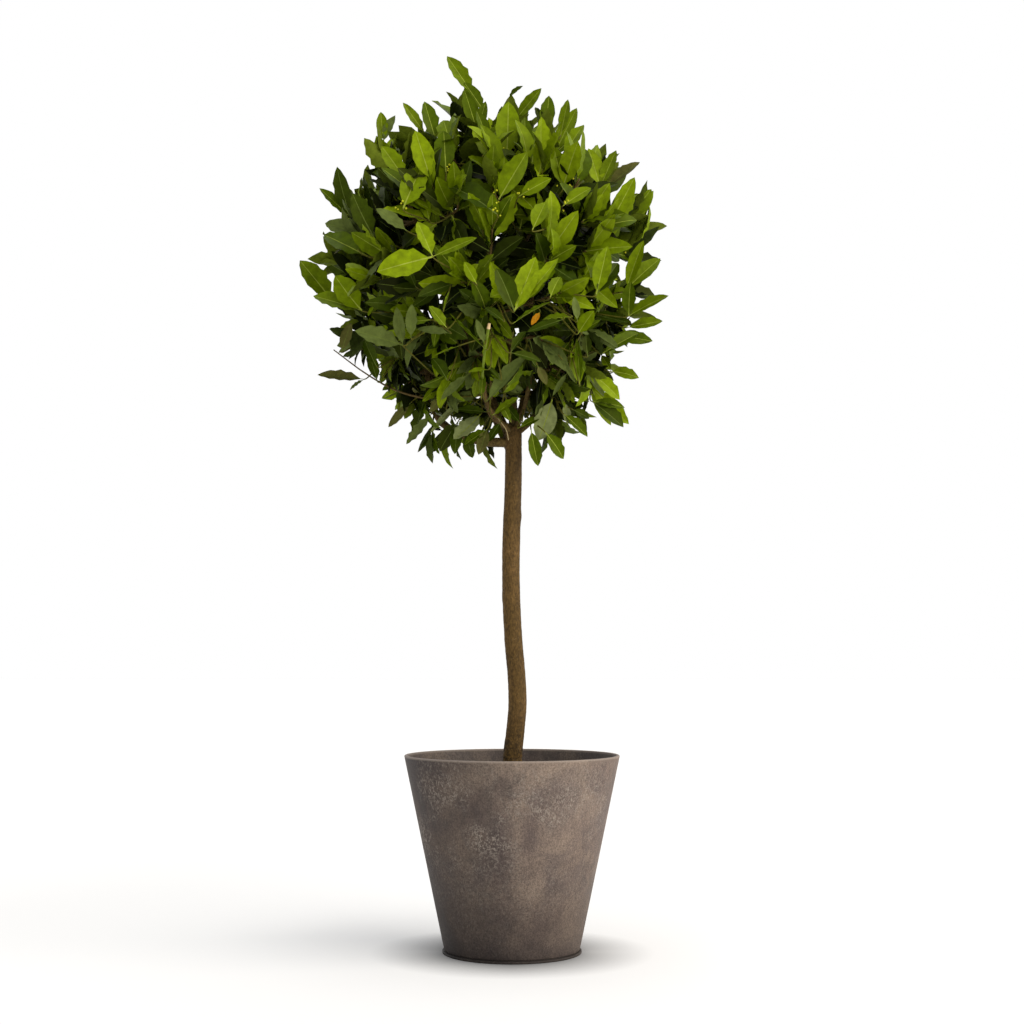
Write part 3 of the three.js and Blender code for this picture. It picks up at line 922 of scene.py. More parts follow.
def shaped_grid(bm, columns, drop, part):
    """Adds one face of the leaf: a grid moved into the outline, its middle column let down by drop."""
    rows = len(LEAF_ROWS) - 1
    before = set(bm.faces)
    verts = bmesh.ops.create_grid(bm, x_segments=columns, y_segments=rows, size=1)["verts"]
    for face in set(bm.faces) - before:
        centre = face.calc_center_median()
        rib = (abs(centre.x) < 0.1 and columns == 3) or centre.y < -1 + 2 / rows
        face.material_index = MIDRIB if rib else part
    for vert in verts:
        t = LEAF_ROWS[round((vert.co.y + 1) / 2 * rows)]
        place = (vert.co.x + 1) / 2
        inner = 0 < round(place * columns) < columns and t < 1
        vert.co = (outline_corner(place, columns, t), t, -drop * (1.6 - t) if inner else 0)


def flat_leaf():
    bm = bmesh.new()
    shaped_grid(bm, 3, 0, BLADE)
    shaped_grid(bm, 2, LEAF_THICKNESS, UNDERSIDE)
    bmesh.ops.remove_doubles(bm, verts=bm.verts, dist=1e-5)
    bmesh.ops.holes_fill(bm, edges=bm.edges, sides=8)
    bmesh.ops.recalc_face_normals(bm, faces=bm.faces)
    return template_of(bm)


# %% Leaf habits
CRISP_OUT = 0.045
CRISP_UP = 0.006


def bent(corners, habit):
    """The flat leaf folded along its midrib, curled, waved at its edge and swayed to one side."""
    x, t, z = corners.T
    wave = np.sin(FULL_TURN * (habit["waves"] * t + 0.2 * np.sign(x))) * np.minimum(1, (x / 0.1) ** 2)
    curl = habit["curl"] * t * t
    crisp = np.where(np.searchsorted(LEAF_ROWS, t - 1e-4) % 2, 1.0, -1.0) * np.minimum(1, (x / 0.08) ** 2)
    up = z + habit["fold"] * np.abs(x) - curl + habit["wave"] * wave + CRISP_UP * crisp * np.sign(x)
    across = x * (1 + 0.05 * wave + CRISP_OUT * crisp) + habit["sway"] * t * t
    return np.stack([across, t * (1 - 0.35 * np.abs(curl)), up], axis=1)


HABITS = [
    {"fold": 0.24, "curl": 0.03, "wave": 0.012, "waves": 3.6, "sway": -0.01},
    {"fold": 0.40, "curl": 0.10, "wave": 0.018, "waves": 3.9, "sway": 0.03},
    {"fold": 0.56, "curl": 0.18, "wave": 0.022, "waves": 3.4, "sway": -0.04},
    {"fold": 0.32, "curl": -0.07, "wave": 0.024, "waves": 4.1, "sway": 0.05},
    {"fold": 0.48, "curl": 0.30, "wave": 0.018, "waves": 3.7, "sway": -0.06},
    {"fold": 0.36, "curl": 0.14, "wave": 0.026, "waves": 3.3, "sway": 0.07},
]
LEAF = flat_leaf()
LEAF_SHAPES = np.array([bent(LEAF["corners"], habit) for habit in HABITS])
print("leaf:", len(LEAF["faces"]), "faces,", len(LEAF["corners"]), "corners,", len(HABITS), "habits")

# %% [markdown]
# ## Leaf colours
#
# Bay leaves open a bright yellow-green and darken for years: the newest stand at the shoots' ends, the
# oldest deep in the crown. The finishes are one family from old to young, each with a faint mottle and
# a satin surface. The family also paints light and shade: darker steps go to the leaves inside the
# crown, under it and in its hollows, as painted shade, and brighter ones to its top and right side, as
# painted light. Every leaf takes its step in the family from its spray and from its place on it.

# %% Leaf finishes
# The family from old to young; besides age, the darker steps paint shade and the brighter steps light.
TONES = {
    "old": (0.003, 0.006, 0.001),
    "shade": (0.014, 0.023, 0.001),
    "deep": (0.023, 0.040, 0.001),
    "mid": (0.051, 0.082, 0.001),
    "fresh": (0.086, 0.127, 0.001),
    "bright": (0.110, 0.160, 0.001),
    "young": (0.146, 0.204, 0.002),
}
OTHER_TONES = {
    # dull, grey and pale paint the greyish sheen of the sky on glossy leaves.
    "dull": (0.068, 0.067, 0.016),
    "grey": (0.074, 0.098, 0.022),
    "pale": (0.190, 0.220, 0.080),
    "spent": (0.430, 0.170, 0.006),
    "under_pale": (0.092, 0.122, 0.008),
    "under_grey": (0.044, 0.062, 0.012),
    "under_painted_shade": (0.012, 0.018, 0.003),
    "rib_pale": (0.225, 0.270, 0.034),
    "rib_deep": (0.088, 0.118, 0.022),
}
ALL_TONES = {**TONES, **OTHER_TONES}
SLOT = {name: i for i, name in enumerate(ALL_TONES)}


def leaf_finish(name, colour, roughness, mottle=0.24):
    material, tree, shader = new_finish(name, colour, roughness, 0.12)
    shader.inputs["Specular Tint"].default_value = (1.0, 1.0, 0.25, 1)
    patch = noise_of(tree, 95, 3, 0.6)
    tones = [(0.3, toned(1 - mottle, colour)), (0.7, toned(1 + mottle, colour))]
    tree.links.new(ramp(tree, patch, tones), shader.inputs["Base Color"])
    bump(tree, shader, noise_of(tree, 420, 2, 0.6), 0.25 * MM, 0.5)
    return material


LEAF_FINISHES = [leaf_finish("leaf_" + name, colour, 0.40 if name in TONES else 0.55)
                 for name, colour in ALL_TONES.items()]
PALE_BENEATH = ("mid", "fresh", "bright", "young", "pale")
# The old and shade tones take a dark underside, painted shade for the inside of the crown.
DARK_BENEATH = ("old", "shade")


def part_slots(name):
    """The finishes of a leaf's blade, midrib and underside."""
    if name == "spent":
        return (SLOT["spent"], SLOT["rib_pale"], SLOT["spent"])
    if name in PALE_BENEATH:
        return (SLOT[name], SLOT["rib_pale"], SLOT["under_pale"])
    return (SLOT[name], SLOT["rib_deep"], SLOT["under_painted_shade" if name in DARK_BENEATH else "under_grey"])


SLOT_TABLE = np.array([part_slots(name) for name in ALL_TONES])

# %% [markdown]
# ## Sprays
#
# A spray is a fine twig with leaves round it in a golden-angle spiral, the way a bay sets them. Each
# leaf turns its tip up and its blade to the light outside, so that neighbours overlap and don't cross.

# %% A leaf on its twig
LEADING_FACE = np.array([0, -0.9, 0.4])
LEADING_ROLL = 0.18
LEAF_ROLL = 0.32
dice = random.Random(SEED)
leaves = []
twigs = []


def square_to(heading):
    helper = np.array([1.0, 0, 0]) if abs(heading[2]) > 0.9 else UP
    side = unit(np.cross(heading, helper))
    return side, np.cross(heading, side)


def add_leaf(owner, place, heading, turn, opening, length, tone, leading=False):
    """A leaf leaves its twig at an angle, turns up, and shows its blade to the light outside."""
    side, other = square_to(heading)
    out = side * math.cos(turn) + other * math.sin(turn)
    spread = math.radians(opening)
    along = heading * math.cos(spread) + out * math.sin(spread)
    outward = unit(place - CROWN_CENTRE)
    if not leading:
        along = unit(along + UP * np.interp(outward[2], (-0.8, -0.3, 0.2, 1.0), (-0.3, 0.0, 0.45, 0.5)))
    face = LEADING_FACE if leading else heading * 0.2 + outward * 0.9 + UP * 0.25
    face = unit(face - along * face.dot(along))
    roll = dice.gauss(0, LEADING_ROLL if leading else LEAF_ROLL)
    across = np.cross(along, face)
    across, face = (across * math.cos(roll) + face * math.sin(roll),
                    face * math.cos(roll) - across * math.sin(roll))
    width = length * dice.uniform(0.84, 1.14) * np.interp(outward[2], (-0.8, 0), (0.82, 1))
    habit = 0 if leading else dice.randrange(len(HABITS))
    leaves.append({"owner": owner, "place": place, "across": across, "along": along, "face": face,
                   "length": length, "width": width, "habit": habit, "tone": tone, "leading": leading})


# %% [markdown]
# The leaves at a spray's foot open wide, and the last ones are younger and smaller and close up round
# the bud. Low and shaded sprays often carry greyer leaves, whose grey is a painted sheen of the sky. Two
# leading shoots of the outline end in a pair of long leaves.

# %% One spray
LAST_LEAF = 0.995
SPRAY_OPEN = (50, 16)
LEAF_LENGTHS = (54 * MM, 88 * MM)
TOP_GROWTH = 16 * MM
TIP_YOUTH = 0.22
TONE_SPREAD = 0.15
SKY_SHEEN_SHARE = 0.32
LEADING_PAIR = ((18, 82 * MM), (3, 94 * MM))


def tone_at(level):
    return int(min(max(level * len(TONES), 0), len(TONES) - 1))


def grow_spray(mass, handles, count, first, level, leads=False, scale=1.0, last=LAST_LEAF):
    """Leaves along a curve of four handles, the last ones younger, smaller and closer to its line."""
    curve = run_of(handles)
    start = FULL_TURN * dice.random()
    outward = unit(handles[3] - CROWN_CENTRE)
    light = outward[2] + 0.3 * outward[0]
    # Some sprays, more of them low and on the left, take grey tones: a painted sheen of the sky.
    sky_sheen = dice.random() < SKY_SHEEN_SHARE * np.interp(light, (-0.5, 0.3), (1.0, 0.12))
    for i in range(count):
        share = i / max(count - 1, 1)
        at = first + (last - first) * share
        opening = SPRAY_OPEN[0] + (SPRAY_OPEN[1] - SPRAY_OPEN[0]) * share + dice.gauss(0, 11)
        size = dice.uniform(*LEAF_LENGTHS) + TOP_GROWTH * outward[2]
        size *= 1.05 - 0.28 * max(0, share - 0.6)
        leading = leads and i >= count - 2
        heading = outward if leading else heading_of(curve, at)
        if leading:
            opening, size = LEADING_PAIR[i - count + 2]
        tone = tone_at(level + TIP_YOUTH * (share - 0.5) + dice.gauss(0, TONE_SPREAD))
        if sky_sheen and tone < SLOT["bright"] and not leading:
            tone = SLOT["grey"] if tone > SLOT["shade"] else SLOT["dull"]
        turn = start + i * GOLDEN_ANGLE + dice.gauss(0, 0.3)
        add_leaf(mass["name"], curve(at), heading, turn, opening, size * scale, tone, leading)


# %% [markdown]
# The head is clipped, but it is no perfect ball: it swells to both sides and low on the right, and it
# is flatter on top. A few lobes say how the outline leaves the ball. Each has a bearing in the front
# view, a width in degrees and a gain. Thin places and hollows are left in the head, because a real one
# is never as even as a hedge, and the leaves that stay in a hollow take darker tones, as painted shade.

# %% The clipped outline
LOBES = [(76, 24, -0.24), (120, 13, -0.12), (235, 16, -0.08), (180, 13, 0.22), (2, 16, 0.14),
         (290, 38, 0.15)]
HOLLOWS = [(-70, 1262, 48), (118, 1232, 42), (-152, 1120, 42), (-44, 1124, 34), (66, 1055, 46),
           (-80, 1010, 40), (-215, 1150, 26), (20, 1010, 30)]
HOLLOW_SHARE = 0.6
# How much darker the leaves in a hollow are: painted shade.
HOLLOW_PAINTED_SHADE = 0.28
HOLLOW_FRONT = -60
CLEARINGS = -0.10


def outline_share(direction):
    """How far the clipped ball bulges or dips on a bearing."""
    bearing = math.degrees(math.atan2(direction[2], direction[0]))
    share = 1.0
    for centre, width, gain in LOBES:
        apart = (bearing - centre + 180) % 360 - 180
        share += gain * math.exp(-((apart / width) ** 2)) * (1 - direction[1] ** 2)
    return share


def in_hollow(end):
    """Whether a spray ends in one of the shaded hollows in the front of the crown."""
    x, y, z = end / MM
    return y < HOLLOW_FRONT and any(math.hypot(x - across, z - up) < width for across, up, width in HOLLOWS)


def in_clearing(direction):
    """A clipped bay has thin places: a slow noise over the ball says where sprays are missing."""
    return noise.noise(Vector(direction * 2.6) + Vector((7, 3, 1))) < CLEARINGS


# %% [markdown]
# Every shoot carries a spray at its end and a few old leaves further in. Then nearly two hundred finer
# twigs leave the nearest shoot and end on the clipped ball. Near the top of the crown they turn up to
# the light, and low down they spread or hang.

# %% Where a spray goes
SPRAY_COUNT = 290
SPRAY_REACH = (165 * MM, 262 * MM)
SPRAY_LEAVES = (5, 8)
SPRAY_BARE = 0.22
SPRAY_RADII = (1.9 * MM, 1.1 * MM)
SHOOT_SPRAY = 6
INNER_LEAVES = 9
BARE_SCALE = 0.6
CUT_BACK = 1.5


def heading_for(direction):
    """Shoots turn up in the upper crown, spread half-way down, and hang a little at the bottom."""
    lift = np.interp(direction[2], (-0.9, -0.5, -0.1, 1.0), (-0.25, 0.1, 1.15, 1.6))
    sway = np.array([dice.gauss(0, 0.18), dice.gauss(0, 0.18), dice.gauss(0, 0.14)])
    return unit(direction + UP * lift + sway)


def nearest_shoot(mass, end):
    return min(mass["shoots"], key=lambda shoot: np.linalg.norm(bezier(shoot["handles"], 0.75) - end))


def spray_handles(mass, direction, reach):
    end = CROWN_CENTRE + direction * reach
    curve = run_of(nearest_shoot(mass, end)["handles"])
    leave = dice.uniform(0.42, 0.72)
    start = curve(leave)
    length = np.linalg.norm(end - start)
    along = heading_of(curve, leave)
    return [start, start + along * 0.3 * length, end - heading_for(direction) * 0.35 * length, end]


def age_and_light_level(direction):
    """How bright a spray's leaves are: younger growth, and painted light, give the top and the right side
    brighter tones.
    """
    return 0.635 + 0.10 * direction[2] + 0.01 * direction[0] + dice.gauss(0, 0.17)


# %% Grow the crown
def dress_shoot(mass, shoot):
    """A shoot's own twig, the spray at its end, and the old leaves along its inner part."""
    handles, direction = shoot["handles"], shoot["direction"]
    leads, bare = shoot["name"] in ("shoulder_right", "hip_right"), shoot["name"] == "bare_twig"
    last = LAST_LEAF if leads else min(LAST_LEAF, 1 - CUT_BACK * (1 - outline_share(direction)))
    twigs.append((run_of(handles, last), SHOOT_RADII, 0))
    grow_spray(mass, handles, SHOOT_SPRAY, 0.62 if bare else last - 0.3, age_and_light_level(direction), leads,
               BARE_SCALE if bare else 1.0, last)
    # The inner leaves take the darkest tones: they are old, and the dark also paints the shade inside the
    # crown.
    for i in range(2 if bare else INNER_LEAVES):
        at = 0.25 + 0.45 * (i + dice.random()) / INNER_LEAVES
        heading = heading_of(run_of(handles), at)
        add_leaf(mass["name"], bezier(handles, at), heading, FULL_TURN * dice.random(),
                 dice.uniform(50, 85), dice.uniform(58, 86) * MM, tone_at(dice.uniform(0, 0.27)))


for mass in masses:
    twigs.append((run_of(mass["stem"]), (mass["radii"][1], STEM_TIP), 0))
    for shoot in mass["shoots"]:
        dress_shoot(mass, shoot)
sprays = []
for i in range(SPRAY_COUNT):
    direction = ball_direction(i, SPRAY_COUNT, i * GOLDEN_ANGLE + dice.gauss(0, 0.15))
    if in_clearing(direction):
        continue
    mass = owner_of(direction)
    handles = spray_handles(mass, direction, dice.uniform(*SPRAY_REACH) * outline_share(direction))
    hollow = in_hollow(handles[3])
    if hollow and dice.random() < HOLLOW_SHARE:
        continue
    sprays.append((direction, handles))
    twigs.append((run_of(handles), SPRAY_RADII, 1))
    count = dice.randint(*SPRAY_LEAVES)
    # Leaves in a hollow take darker tones, as painted shade.
    grow_spray(mass, handles, count, SPRAY_BARE, age_and_light_level(direction) - HOLLOW_PAINTED_SHADE * hollow)
print("sprays:", len(sprays), "of", SPRAY_COUNT)

# %% [markdown]
# Under the head a few short sprays hang from the boughs themselves, in front of the fork and on both
# sides of the trunk. Each starts at the nearest place on a bough and ends at a given point.

# %% Hanging sprays
HANGING = {(-76, -44, 906): 3, (-104, -26, 905): 4, (-138, -4, 885): 4, (-112, 34, 885): 3, (-52, 50, 885): 2,
           (34, -22, 898): 2, (58, -4, 908): 2, (84, 24, 905): 3, (78, -34, 920): 3,
           (-128, -48, 935): 4, (-112, -62, 915): 3, (-150, -30, 930): 4}
limbs = [limb_curve(mass) for mass in masses]


def nearest_on_limbs(point):
    """The closest place on any bough, past the fork, and the mass that it belongs to."""
    places = [(limb(at), mass) for limb, mass in zip(limbs, masses) for at in np.linspace(0.15, 1, 18)]
    return min(places, key=lambda place: np.linalg.norm(place[0] - point))


for point, count in HANGING.items():
    end = np.array(point) * MM
    start, mass = nearest_on_limbs(end + UP * 0.03)
    reach = np.linalg.norm(end - start)
    handles = [start, start + unit(end - start + UP * 0.01) * 0.3 * reach, end + UP * 0.4 * reach, end]
    twigs.append((run_of(handles), SPRAY_RADII, 1))
    # Leaves hanging under the head take darker tones, as painted shade.
    grow_spray(mass, handles, count, 0.6, 0.42 + dice.gauss(0, 0.1), scale=1.1)
print("hanging sprays:", len(HANGING), "twigs:", len(twigs), "leaves:", len(leaves))

# %% [markdown]
# ## Leaves placed one by one
#
# The rule alone would grow any bay. What makes this one itself is given one by one: the tall shoots at
# the top, the bright pairs painted as catching the light, the grey leaves at the left with a painted
# sheen, and the leaves that frame the fork. Each row gives a foot, where one or more leaves leave their
# twig, and for each leaf its tip, its tone and its breadth. A tone paints the light or shade on its leaf
# together with its colour. Feet and tips are given in the plane of the trunk, in millimetres, as a
# person in front of the plant sees them.

# %% Table of placed leaves
# A leaf's tone is its colour with its light or shade painted in: bright for lit leaves, deep and shade for
# shaded ones, grey, dull and pale for the sky's sheen.
SHOWN = [
    (-68, 1484, (-117, 1561, "fresh", 0.85)),
    (-50, 1456, (-84, 1509, "mid", 1.1)),
    (-6, 1479, (19, 1505, "deep", 0.8)),
    (6, 1439, (52, 1499, "fresh", 0.8)),
    (-9, 1372, (-5, 1475, "bright", 1.1)),
    (59, 1415, (66, 1485, "mid", 1.0), (44, 1470, "shade", 0.8)),
    (86, 1412, (99, 1478, "fresh", 0.8)),
    (93, 1372, (121, 1441, "bright", 0.9)),
    (90, 1318, (114, 1404, "young", 1.2), (72, 1395, "fresh", 1.0)),
    (155, 1318, (136, 1390, "young", 1.1), (182, 1384, "fresh", 0.8)),
    (168, 1318, (224, 1371, "dull", 0.8)),
    (-23, 1296, (26, 1383, "bright", 1.3)),
    (13, 1302, (68, 1339, "bright", 1.1)),
    (36, 1242, (62, 1299, "bright", 1.2)),
    (90, 1285, (139, 1323, "bright", 1.1)),
    (-187, 1332, (-232, 1397, "bright", 1.1)),
    (-191, 1280, (-159, 1364, "bright", 1.25)),
    (-116, 1345, (-120, 1422, "mid", 1.25)),
    (-133, 1398, (-156, 1479, "mid", 0.9)),
    (-154, 1415, (-192, 1472, "fresh", 0.8)),
    (-27, 1270, (-113, 1342, "deep", 1.0)),
    (-226, 1400, (-233, 1457, "fresh", 1.0), (-211, 1453, "grey", 0.9)),
    (-282, 1262, (-339, 1320, "mid", 0.7), (-316, 1357, "deep", 0.8)),
    (-242, 1229, (-287, 1306, "deep", 1.2)),
    (-252, 1194, (-340, 1242, "mid", 1.0)),
    (-139, 1194, (-238, 1170, "young", 1.4), (-167, 1263, "young", 1.0), (-61, 1233, "fresh", 0.6)),
    (-313, 1115, (-374, 1192, "fresh", 1.15)),
    (-262, 1098, (-318, 1162, "bright", 1.35), (-352, 1130, "fresh", 1.0)),
    (-184, 1240, (-238, 1282, "grey", 1.1)),
    (-62, 1146, (-83, 1186, "bright", 1.2)),
    (4, 1097, (-22, 1181, "deep", 1.1), (43, 1196, "young", 0.9), (82, 1190, "young", 0.55)),
    (67, 1122, (82, 1165, "fresh", 1.3)),
    (115, 1057, (142, 1101, "bright", 1.4)),
    (-114, 1068, (-145, 1108, "fresh", 1.3)),
    (147, 1126, (192, 1195, "deep", 0.9), (168, 1215, "bright", 0.9)),
    (200, 1136, (260, 1199, "fresh", 0.9), (228, 1228, "bright", 0.7)),
    (204, 1089, (272, 1132, "fresh", 0.85), (204, 1152, "mid", 1.1)),
    (157, 1022, (228, 1068, "mid", 0.7)),
    (200, 1068, (267, 1083, "fresh", 0.8)),
    (172, 991, (224, 987, "fresh", 1.2), (156, 1024, "fresh", 1.0)),
    (139, 938, (199, 895, "deep", 1.1), (200, 934, "mid", 0.8)),
    (90, 916, (136, 877, "mid", 0.9), (104, 898, "pale", 1.1)),
    (58, 884, (97, 839, "mid", 1.1)),
    (33, 889, (45, 821, "mid", 0.9)),
    (-2, 902, (-20, 938, "mid", 1.0)),
    (-20, 902, (-42, 868, "deep", 1.0)),
    (12, 892, (50, 914, "mid", 0.9)),
    (70, 942, (48, 866, "pale", 1.3)),
    (-190, 1037, (-275, 1065, "grey", 1.1), (-204, 1106, "grey", 0.8)),
    (-176, 1050, (-178, 1112, "grey", 0.9)),
    (-54, 916, (-98, 866, "pale", 1.2)),
    (-176, 936, (-216, 893, "dull", 0.7)),
    (-140, 916, (-180, 859, "grey", 0.8)),
    (-86, 942, (-145, 881, "pale", 0.35)),
    (-94, 902, (-131, 852, "shade", 1.2), (-100, 846, "deep", 1.0)),
    (-78, 884, (-72, 836, "deep", 1.2)),
    (-43, 890, (-57, 845, "dull", 1.1), (-84, 862, "mid", 1.0)),
    (-257, 977, (-342, 988, "dull", 0.6), (-284, 959, "grey", 0.7)),
    (-234, 973, (-250, 1030, "deep", 0.9)),
    (-297, 1026, (-282, 1078, "dull", 1.0)),
    (-236, 1000, (-262, 1052, "deep", 0.9)),
    (-61, 1418, (-84, 1497, "mid", 0.9), (-46, 1474, "mid", 0.9)),
    (-44, 1396, (-57, 1462, "mid", 0.9), (-16, 1444, "fresh", 0.8)),
    (-44, 938, (22, 1027, "grey", 0.65)),
    (-34, 914, (14, 946, "fresh", 0.75)),
    (14, 901, (-14, 932, "deep", 1.1)),
    (-44, 920, (-97, 926, "deep", 0.9), (-92, 912, "shade", 0.9)),
    (-75, 987, (-126, 940, "grey", 0.6)),
    (-42, 994, (-80, 992, "bright", 0.8)),
    (-53, 944, (-51, 992, "mid", 0.7)),
    (-20, 976, (-44, 1004, "deep", 0.6), (-37, 986, "mid", 0.7)),
    (-15, 1080, (-48, 1110, "deep", 0.9)),
    (-48, 1040, (-62, 1084, "grey", 0.8)),
    (-108, 1058, (-166, 1068, "grey", 0.8)),
    (-142, 1082, (-188, 1078, "mid", 0.9)),
    (104, 1087, (50, 1086, "fresh", 0.9)),
    (90, 1083, (25, 1062, "deep", 0.7)),
    (120, 1060, (154, 1082, "mid", 1.1)),
    (114, 1080, (109, 1124, "grey", 0.9)),
    (-2, 1024, (26, 1070, "deep", 0.8), (54, 1012, "deep", 0.8)),
    (20, 1028, (47, 1000, "deep", 0.9)),
    (44, 1002, (62, 966, "dull", 1.0)),
    (88, 1011, (112, 970, "grey", 0.5)),
    (118, 967, (115, 1053, "mid", 0.4)),
    (132, 1018, (126, 1060, "shade", 1.1)),
    (98, 950, (138, 943, "mid", 1.0)),
    (106, 924, (138, 908, "deep", 1.2)),
    (91, 938, (101, 896, "pale", 0.9)),
    (52, 948, (41, 900, "grey", 0.7)),
    (97, 990, (70, 948, "grey", 0.5)),
    (-113, 976, (-137, 1024, "deep", 1.1)),
    (-46, 1030, (-113, 1094, "mid", 0.16)),
    (-93, 1036, (-137, 1019, "fresh", 0.25)),
    (-120, 1098, (-110, 1136, "fresh", 0.25)),
    (2, 1076, (67, 1120, "mid", 0.2)),
]

# %% [markdown]
# The places of the table are brought forward onto the ball along the viewer's line of sight. The ball is
# a little deeper than it is wide and narrows below. Near the trunk every place stays in front of it.

# %% Line of sight
VIEWER_DISTANCE = 2.864
VIEWER_HEIGHT = 0.5
FRONT_RADIUS = 296
FRONT_DEPTH = 312
NEAREST_DEPTH = -42
LOW_BAND = (900, 1120)
LOW_SHARE = 0.84
FLANK_BAND = (150, 300)


def before_viewer(across, up, depth):
    """The place at a depth that a viewer in front sees over a place in the plane of the trunk."""
    share = 1 + depth * MM / VIEWER_DISTANCE
    return np.array([across * MM * share, depth * MM, VIEWER_HEIGHT + (up * MM - VIEWER_HEIGHT) * share])


def front_depth(across, up):
    """How far forward the ball's surface lies over a place in the plane of the trunk."""
    x, _, z = CROWN_CENTRE / MM
    radius = FRONT_RADIUS * np.interp(up, LOW_BAND, (LOW_SHARE, 1))
    apart = min(math.hypot(across - x, up - z) / radius, 1)
    nearest = np.interp(abs(across), FLANK_BAND, (NEAREST_DEPTH, 0))
    return min(-FRONT_DEPTH * math.sqrt(1 - apart ** 2), nearest)


# %% [markdown]
# A placed leaf needs wood to grow from. Each foot gets a short twig out of the wood behind it, four
# longer green stems climb through the lower half of the crown, and one bare twig sticks out low on
# the left. The leaves lean a little forward or back, so that the crown has depth from the side too.

# %% Twigs for the placed leaves
STEMS = [
    ((-46, 928), (-106, 964), (-142, 991), (-196, 1042)),
    ((-50, 955), (-76, 1009), (-104, 1058), (-128, 1094)),
    ((-20, 912), (-12, 960), (-4, 1010), (2, 1060)),
    ((26, 912), (60, 960), (100, 1020), (126, 1068)),
]
STEM_INSET = 26
STEM_START = 0.3
STEM_RADII = (2.2 * MM, 1.2 * MM)
BEHIND = 30 * MM
BARE_TWIG = metres([(-128, -40, 933), (-194, -34, 950), (-250, -20, 982), (-310, -6, 1028)])
WOOD = np.array([curve(at) for curve in [twig[0] for twig in twigs] + limbs
                 for at in np.linspace(0.1, 1, 14)])


def nearest_wood(point):
    """The closest place on any twig, stem or bough that the rule has grown."""
    return WOOD[np.linalg.norm(WOOD - point, axis=1).argmin()]


def wood_behind(point):
    """Wood further inside that a twig can come from with little sideways run."""
    inward = unit(CROWN_CENTRE - point)
    along = (WOOD - point) @ inward
    across = np.linalg.norm(WOOD - point - along[:, None] * inward, axis=1)
    return WOOD[(2 * across + abs(along - BEHIND)).argmin()]


def side_twig(end, heading, radii=(1.5 * MM, 1.0 * MM), kind=1):
    """A short twig that leaves the wood behind its end and turns to a heading as it gets there."""
    start = wood_behind(end)
    twigs.append((run_of([start, start + (end - start) * 0.5, end - heading * 8 * MM, end]), radii, kind))
    return start


def stem_curve(line):
    """A long stem that starts in the nearest wood and comes forward step by step."""
    points = []
    for rank, (across, up) in enumerate(line):
        forward = (rank + STEM_START) / (len(line) - 1 + STEM_START)
        points.append(before_viewer(across, up, (front_depth(across, up) + STEM_INSET) * forward))
    points.insert(0, nearest_wood(points[0]))
    return lambda at: through(points, at)


side_twig(BARE_TWIG[0], unit(BARE_TWIG[1] - BARE_TWIG[0]), (2.4 * MM, 2.2 * MM), 0)
twigs.append((lambda at: through(BARE_TWIG, at), (2.2 * MM, 1.1 * MM), 0))
for line in STEMS:
    twigs.append((stem_curve(line), STEM_RADII, 1))

# %% Place the leaves
LEAN = 0.32
PLACED_HABITS = (0, 1, 1, 2, 3, 5)
lengths, feet = [], []
for across, up, *tips in SHOWN:
    foot = (across, up)
    middle = np.mean([foot] + [tip[:2] for tip in tips], axis=0)
    depth = front_depth(*middle)
    place = before_viewer(*foot, depth)
    side_twig(place, unit(before_viewer(*middle, depth) - place))
    feet.append(place)
    owner = owner_of(unit(place - CROWN_CENTRE))["name"]
    for *tip, tone, breadth in tips:
        lean = dice.uniform(-LEAN, LEAN) * math.dist(foot, tip)
        reach = before_viewer(*tip, min(depth + lean, 0)) - place
        add_leaf(owner, place, unit(reach), 0, 0, np.linalg.norm(reach), SLOT[tone], leading=True)
        leaves[-1]["width"] = leaves[-1]["length"] * breadth
        leaves[-1]["habit"] = dice.choice(PLACED_HABITS)
        lengths.append(np.linalg.norm(reach) / MM)
print("placed by hand:", len(lengths), "leaves of", round(min(lengths)), "to", round(max(lengths)), "mm")

# %% [markdown]
# One small leaf has died where it grew. It has shrunk, curled and turned orange, and hangs on a fine
# twig of its own in a shaded place at the front.

# %% Spent leaf
SPENT_PLACE = np.array([45, -256, 1043]) * MM
SPENT_WAY = unit((-0.5, -0.25, -0.8))
SPENT_LENGTH = 27 * MM
spent_base = side_twig(SPENT_PLACE, -UP, (1.1 * MM, 0.8 * MM))
add_leaf("left_front", SPENT_PLACE, SPENT_WAY, 0, 5, SPENT_LENGTH, SLOT["spent"], leading=True)
print("spent leaf's twig:", round(np.linalg.norm(spent_base - SPENT_PLACE) / MM), "mm")

# %% [markdown]
# ## Leaves that keep clear
#
# A leaf that would pass through the trunk, a bough or a stem is left out, and so is one that would reach
# past the solids, close the open fork, or hide a leaf placed one by one. Points along the limbs are
# compared with points on each leaf, all at once.

# %% Corners of the leaves
def column(key):
    return np.array([leaf[key] for leaf in leaves])


def leaf_corners():
    """The corners of every leaf, from its habit, its three directions, its length and its width."""
    shapes = LEAF_SHAPES[column("habit")]
    width, length = column("width")[:, None, None], column("length")[:, None, None]
    across, along, face = (column(key)[:, None] for key in ("across", "along", "face"))
    return (column("place")[:, None] + across * shapes[..., :1] * width
            + along * shapes[..., 1:2] * length + face * shapes[..., 2:] * length)


def limb_samples():
    """Places along the trunk and the boughs, and how thick the limb is there."""
    places, radii = [], []
    measured = [(trunk_curve, lambda at: TRUNK_RADIUS, 120)]
    measured += [(limb_curve(mass), tapered(mass["radii"]), 40) for mass in masses]
    for curve, radius_at, count in measured:
        for step in range(count + 1):
            places.append(curve(step / count))
            radii.append(radius_at(step / count))
    return np.array(places), np.array(radii)


